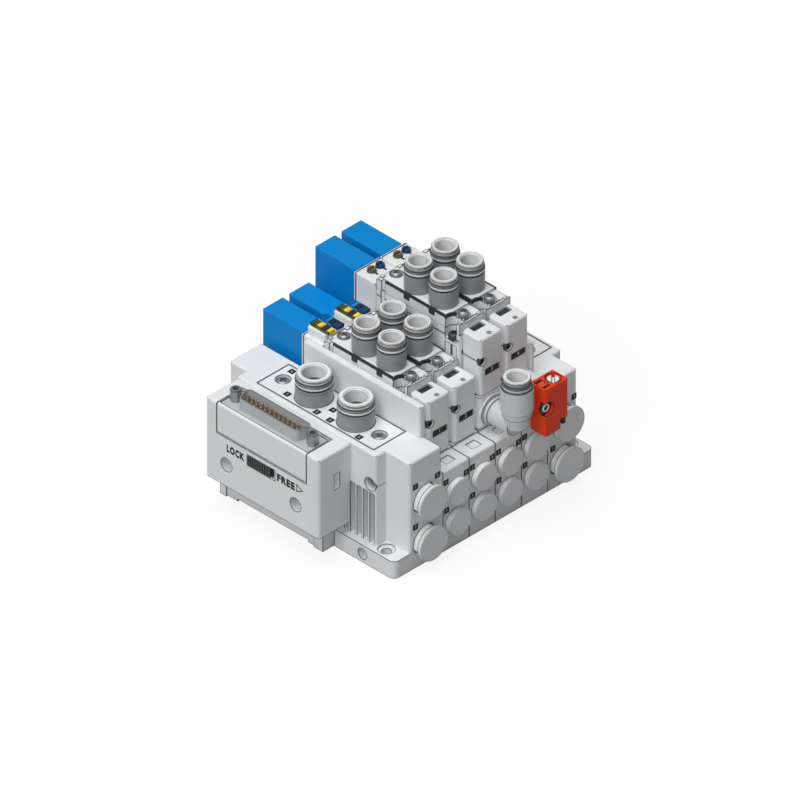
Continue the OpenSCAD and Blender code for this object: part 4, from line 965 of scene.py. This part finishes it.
@dataclass
class NumberTags:
    """Small dark tags with plain numerals beside the ports, as each port is numbered.

    Attributes:
        trim: Registers the pieces.
        plate_places: Tags on the plate with the supply fittings, from its right to its left.
        end_places: Tags on the port face of the connector end.
        station_places: Tags on each station block, from the joint on its left.
        far_places: Tags on the port face of the far end.
        plate_side: Side of a tag on the plate.
        side: Side of any other tag.
        layer: Thickness of a tag.
        numeral: Height of a numeral as a share of its tag's side.
    """

    trim: Trim
    plate_places: tuple[Pair, ...] = (
        (9.6, 74.9),
        (9.1, 56.3),
        (8.9, 48.0),
        (15.1, 52.4),
        (8.7, 30.1),
        (23.0, 85.4),
    )
    end_places: tuple[Pair, ...] = ((13.2, 43.0), (26.6, 42.6), (13.2, 21.7))
    station_places: tuple[Pair, ...] = ((2.0, 36.0), (14.2, 35.3), (2.2, 21.0))
    far_places: tuple[Pair, ...] = ((97.2, 21.2), (110.2, 42.5))
    plate_side: float = 3.2
    side: float = 3.1
    layer: float = 0.06
    numeral: float = 0.4

    def tag(self, name: str, number: int, centre: Vector, facing: Facing, side: float) -> None:
        """Lays one tag with its numeral.

        Args:
            name: Name of the pieces.
            number: What it says.
            centre: Middle of the tag, on the face.
            facing: The face that it lies on.
            side: Its side in millimetres.
        """
        pen = Lettering()
        plate = pen.plate(centre, side, side, facing, self.layer)
        self.trim.add(plate, f"tag_{name}", INK, "base", "clip_black")
        place = facing.off(centre, self.layer / 2)
        figure = pen.word(str(number), place, side * self.numeral, facing)
        self.trim.add(figure, f"numeral_{name}", WHITE_INK, "base", "ring_grey")

    def row(self, name: str, start: float, places: tuple[Pair, ...], first: int = 1) -> None:
        """Lays a row of tags on the port face.

        Args:
            name: First part of the pieces' names.
            start: Where the row's places are measured from, along the stack.
            places: Place along the stack and height of each tag.
            first: The first number.
        """
        for place, (x, z) in enumerate(places):
            centre = at_bench(start + x, PORT_FACE, z)
            self.tag(f"{name}_{place}", place + first, centre, Facing.FRONT, self.side)

    def build(self) -> None:
        """Lays the tags on the plate, the end blocks and the station blocks."""
        for place, (x, y) in enumerate(self.plate_places):
            centre = at_bench(x, y, PLATE_TOP)
            self.tag(f"plate_{place}", place + 1, centre, Facing.TOP_FROM_LEFT, self.plate_side)
        self.row("end", 0.0, self.end_places)
        for station in STATIONS:
            self.row(f"station_{station}", middle_of(station) - PITCH / 2, self.station_places)
        self.row("far", 0.0, self.far_places, 2)


@dataclass
class CoverMarks:
    """The dark field on each front cover and the lamp window on its top, left without words.

    Attributes:
        trim: Registers the pieces.
        field_place: Middle of a field: across from the station's middle, behind the front of
            the cover and above the seat.
        field_size: Its width, height and thickness.
        number_height: Height of its number.
        number_proud: How far the number lies before the field's middle.
        window_place: Middle of a window: across, behind the port face and above the seat.
        window_size: Its width, depth and thickness.
    """

    trim: Trim
    field_place: Point = (0.4, 0.22, 11.5)
    field_size: Point = (8.2, 2.9, 0.1)
    number_height: float = 1.8
    number_proud: float = 0.06
    window_place: Point = (0.2, 19.25, 29.1)
    window_size: Point = (6.4, 3.0, 0.3)

    def build(self) -> None:
        """Lays the fields with the station's number in them, and the windows."""
        pen = Lettering()
        for station in STATIONS:
            middle, seat, number = middle_of(station), seat_of(station), station + 1
            x, y, z = self.field_place
            front = at_bench(middle + x, COVER_FRONT + y, seat + z)
            width, height, layer = self.field_size
            plate = pen.plate(front, width, height, Facing.FRONT, layer)
            self.trim.add(plate, f"front_field_{number}", INK, "base", "clip_black")
            place = Facing.FRONT.off(front, self.number_proud)
            figure = pen.word(str(number), place, self.number_height, Facing.FRONT)
            self.trim.add(figure, f"front_number_{number}", WHITE_INK, "base", "ring_grey")
            x, y, z = self.window_place
            width, height, layer = self.window_size
            top = at_bench(middle + x, y, seat + z)
            window = pen.plate(top, width, height, Facing.TOP, layer)
            self.trim.add(window, f"lamp_window_{number}", SMOKED, "base", "clip_black")


@dataclass
class OverrideTrim:
    """Black grips and fields on the slide overrides, and the marks before the push overrides.

    Attributes:
        trim: Registers the pieces.
        slide_top: Height of a slide's top on a low station.
        sunk: How far the middle of a grip lies below that.
        grip_layer: Thickness of a grip.
        slides: Where the slides a and b are, across from the station's middle.
        grips: For the slides a and b, each grip's place behind the slide's front, its width and
            its length.
        buttons: Where the buttons a and b are, across from the station's middle.
        button_plate: Height of the face round the buttons.
        mark_y: Place of the marks behind the port face.
        mark_size: Their width, length and thickness.
    """

    trim: Trim
    slide_top: float = SEAT + VALVE_HEIGHT + SLIDE_HOUSING + SLIDE_THICKNESS
    sunk: float = 0.17
    grip_layer: float = 0.42
    slides: Pair = (-0.15 - 2.85, -0.15 + 2.85)
    grips: tuple[tuple[Point, ...], ...] = (
        ((3.5, 4.3, 3.1), (8.75, 4.1, 0.55), (9.85, 4.1, 0.55), (10.95, 4.1, 0.5)),
        ((5.0, 4.3, 2.4),),
    )
    buttons: Pair = (0.45 - 2.55, 0.45 + 2.55)
    button_plate: float = SEAT + RAISED_BY + VALVE_HEIGHT
    mark_y: float = 78.4
    mark_size: Point = (1.1, 1.7, 0.06)

    def build(self) -> None:
        """Lays the fields and ribs on each slide, and a mark before each button."""
        pen = Lettering()
        grip_z = self.slide_top - self.sunk
        for station in STATIONS[:FIRST_RAISED]:
            for side, x, grips in zip("ab", self.slides, self.grips):
                name = f"{station + 1}{side}"
                for place, (y, width, length) in enumerate(grips):
                    centre = at_bench(middle_of(station) + x, SLIDE_FRONT + y, grip_z)
                    slab = pen.plate(centre, width, length, Facing.TOP, self.grip_layer)
                    self.trim.add(
                        slab, f"grip_{name}_{place}", BLACK, f"slide_{name}", "clip_black"
                    )
        width, length, layer = self.mark_size
        for station in STATIONS[FIRST_RAISED:]:
            for side, x in zip("ab", self.buttons):
                centre = at_bench(middle_of(station) + x, self.mark_y, self.button_plate)
                slab = pen.plate(centre, width, length, Facing.TOP, layer)
                self.trim.add(
                    slab, f"button_mark_{station + 1}{side}", INK, "base", "clip_black"
                )


@dataclass
class StopDial:
    """The indicator and the pin in the front of the stop valve's cover, and the pointer on top.

    Attributes:
        trim: Registers the pieces.
        dial: Middle of the indicator, on the back of its window.
        seat: Radius, depth and rounding of its black seat.
        seat_steps: Sides of the seat.
        ring: Radius of the pale ring and of its section.
        pin: Radius, depth and rounding of the pin.
        pin_steps: Sides of the pin.
        pin_place: Middle of the pin.
        marker: Middle of the black marker on the top.
        marker_size: Its width, length and thickness.
        pointer: Middle of the orange pointer on the marker.
        pointer_size: Its width, length and thickness.
    """

    trim: Trim
    dial: Point = (80.7, STOP_COVER_FRONT + STOP_WINDOW_DEPTH, 57.3)
    seat: Point = (3.3, 1.2, 0.25)
    seat_steps: int = 48
    ring: Pair = (1.7, 0.4)
    pin: Point = (1.4, 3.8, 0.3)
    pin_steps: int = 32
    pin_place: Point = (91.3, -11.8, 46.1)
    marker: Point = (81.75, -9.0, 67.45)
    marker_size: Point = (3.3, 5.7, 0.2)
    pointer: Point = (81.75, -9.1, 67.62)
    pointer_size: Point = (3.3, 3.2, 0.3)

    def disc(self, size: Point, steps: int) -> bpy.types.Object:
        """Makes a disc with rounded rims.

        Args:
            size: Its radius, its depth and the rounding of its rims, in millimetres.
            steps: Number of its sides.

        Returns:
            The disc, flat at the origin.
        """
        radius, depth, rounding = size
        bpy.ops.mesh.primitive_cylinder_add(vertices=steps, radius=radius * MM, depth=depth * MM)
        bpy.ops.object.mode_set(mode="EDIT")
        bpy.ops.mesh.select_all(action="SELECT")
        bpy.ops.mesh.bevel(offset=rounding * MM, segments=2, affect="EDGES")
        bpy.ops.object.mode_set(mode="OBJECT")
        return bpy.context.object

    def build(self) -> None:
        """Makes the black seat, the pale ring, the pin, and the pointer on its black marker."""
        centre, depth = at_bench(*self.dial), self.seat[1]
        seat = self.disc(self.seat, self.seat_steps)
        Facing.FRONT.placed(seat, Facing.FRONT.off(centre, depth / 2))
        self.trim.add(seat, "dial_seat", BLACK, "base", "clip_black")
        radius, section = self.ring
        bpy.ops.mesh.primitive_torus_add(
            major_radius=radius * MM,
            minor_radius=section * MM,
            major_segments=40,
            minor_segments=10,
        )
        ring = Facing.FRONT.placed(bpy.context.object, Facing.FRONT.off(centre, depth))
        self.trim.add(ring, "dial_ring", LABEL, "base", "ring_grey")
        pin = self.disc(self.pin, self.pin_steps)
        pin.location = at_bench(*self.pin_place)
        self.trim.add(pin, "cover_pin", BLACK, "base", "clip_black")
        pen = Lettering()
        for name, place, size, finish, slot in (
            ("stop_marker", self.marker, self.marker_size, INK, "clip_black"),
            ("stop_pointer", self.pointer, self.pointer_size, ORANGE_PRINT, "stop_orange"),
        ):
            width, length, layer = size
            slab = pen.plate(at_bench(*place), width, length, Facing.TOP, layer)
            self.trim.add(slab, name, finish, "base", slot)


@dataclass
class FittingTrim:
    """The knurled band round the neck of each push-in fitting, where fingers hold it.

    Attributes:
        trim: Registers the pieces.
        radius: Radius over the crests.
        drop: How far the band's middle lies below the fitting's top.
        height: Height of the band.
        segments: Diamonds round the band.
        depth: Height of the crests.
        wall: Thickness of the band.
        sides: The two fittings of a valve, with their places behind the port face.
        elbow: Place of the elbow's axis along the stack and behind the port face.
    """

    trim: Trim
    radius: float = 6.45
    drop: float = 2.62
    height: float = 1.2
    segments: int = 30
    depth: float = 0.16
    wall: float = 0.25
    sides: tuple = (("a", 39.5), ("b", 54.8))
    elbow: Pair = (70.0, -5.3)

    def band(self, centre: Vector) -> bpy.types.Object:
        """Models one band of diamonds.

        Args:
            centre: Its middle.

        Returns:
            The band.
        """
        bpy.ops.mesh.primitive_cylinder_add(
            vertices=self.segments,
            radius=(self.radius - self.depth) * MM,
            depth=self.height * MM,
            end_fill_type="NOTHING",
        )
        band = bpy.context.object
        # Cut the upright edges in half, and turn the new ring by half a segment
        bpy.ops.object.mode_set(mode="EDIT")
        bpy.ops.mesh.select_mode(type="EDGE")
        bpy.ops.mesh.select_all(action="DESELECT")
        bpy.ops.object.mode_set(mode="OBJECT")
        for edge in band.data.edges:
            low, high = (band.data.vertices[index].co.z for index in edge.vertices)
            edge.select = abs(low - high) > MM / 1000.0
        bpy.ops.object.mode_set(mode="EDIT")
        bpy.ops.mesh.subdivide(number_cuts=1)
        bpy.ops.mesh.select_mode(type="VERT")
        bpy.ops.mesh.select_all(action="DESELECT")
        bpy.ops.object.mode_set(mode="OBJECT")
        for vertex in band.data.vertices:
            vertex.select = abs(vertex.co.z) < MM / 10000.0
        bpy.ops.object.mode_set(mode="EDIT")
        half = math.pi / self.segments
        bpy.ops.transform.rotate(value=half, orient_axis="Z", center_override=(0.0, 0.0, 0.0))
        # Raise the middle of each face to a crest, and give the band its wall
        bpy.ops.mesh.select_mode(type="FACE")
        bpy.ops.mesh.select_all(action="SELECT")
        bpy.ops.mesh.poke(offset=self.depth * MM)
        bpy.ops.mesh.normals_make_consistent(inside=False)
        bpy.ops.object.mode_set(mode="OBJECT")
        wall = band.modifiers.new("wall", "SOLIDIFY")
        wall.thickness = self.wall * MM
        wall.offset = -1.0
        bpy.ops.object.modifier_apply(modifier="wall")
        band.location = centre
        return band

    def fit(self, name: str, x: float, y: float, top: float, body: str) -> None:
        """Puts a band round one fitting.

        Args:
            name: Name of the fitting.
            x: Place of its axis along the stack.
            y: Place of its axis behind the port face.
            top: Height of its top.
            body: The body that it rides on.
        """
        band = self.band(at_bench(x, y, top - self.drop))
        self.trim.add(band, f"knurl_{name}", SHADED_KNURL, body, "ring_grey")

    def build(self) -> None:
        """Makes a band for each valve fitting and for the elbow."""
        for station in STATIONS:
            top = FITTING_TOPS[2 if station >= FIRST_RAISED else 1]
            for side, y in self.sides:
                self.fit(f"{station + 1}{side}", middle_of(station), y, top, "base")
        self.fit("elbow", *self.elbow, ELBOW_TOP, "elbow")


def dress(frame: dict, trim: Trim) -> None:
    """Gives every node of the model the finish of its slot.

    Args:
        trim: Keeps the finishes.
    """
    slots = {part["node"]: part["material_slot"] for part in frame["record"]["subparts"]}
    for name, obj in frame["nodes"].items():
        finish = NODE_FINISHES.get(name) or SLOT_FINISHES[slots[name]]
        obj.data.materials.clear()
        obj.data.materials.append(trim.finish(finish))
    log.info("dressed %d nodes", len(frame["nodes"]))


def main() -> None:
    """Builds the scene."""
    logging.basicConfig(level=logging.INFO, format="%(message)s")
    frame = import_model()
    deselect()
    Studio().build()
    trim = Trim()
    dress(frame, trim)
    for detail in (ConnectorMarks, NumberTags, CoverMarks, OverrideTrim, StopDial, FittingTrim):
        detail(trim).build()
    log.info("made %d pieces", trim.made)


if __name__ == "__main__":
    main()
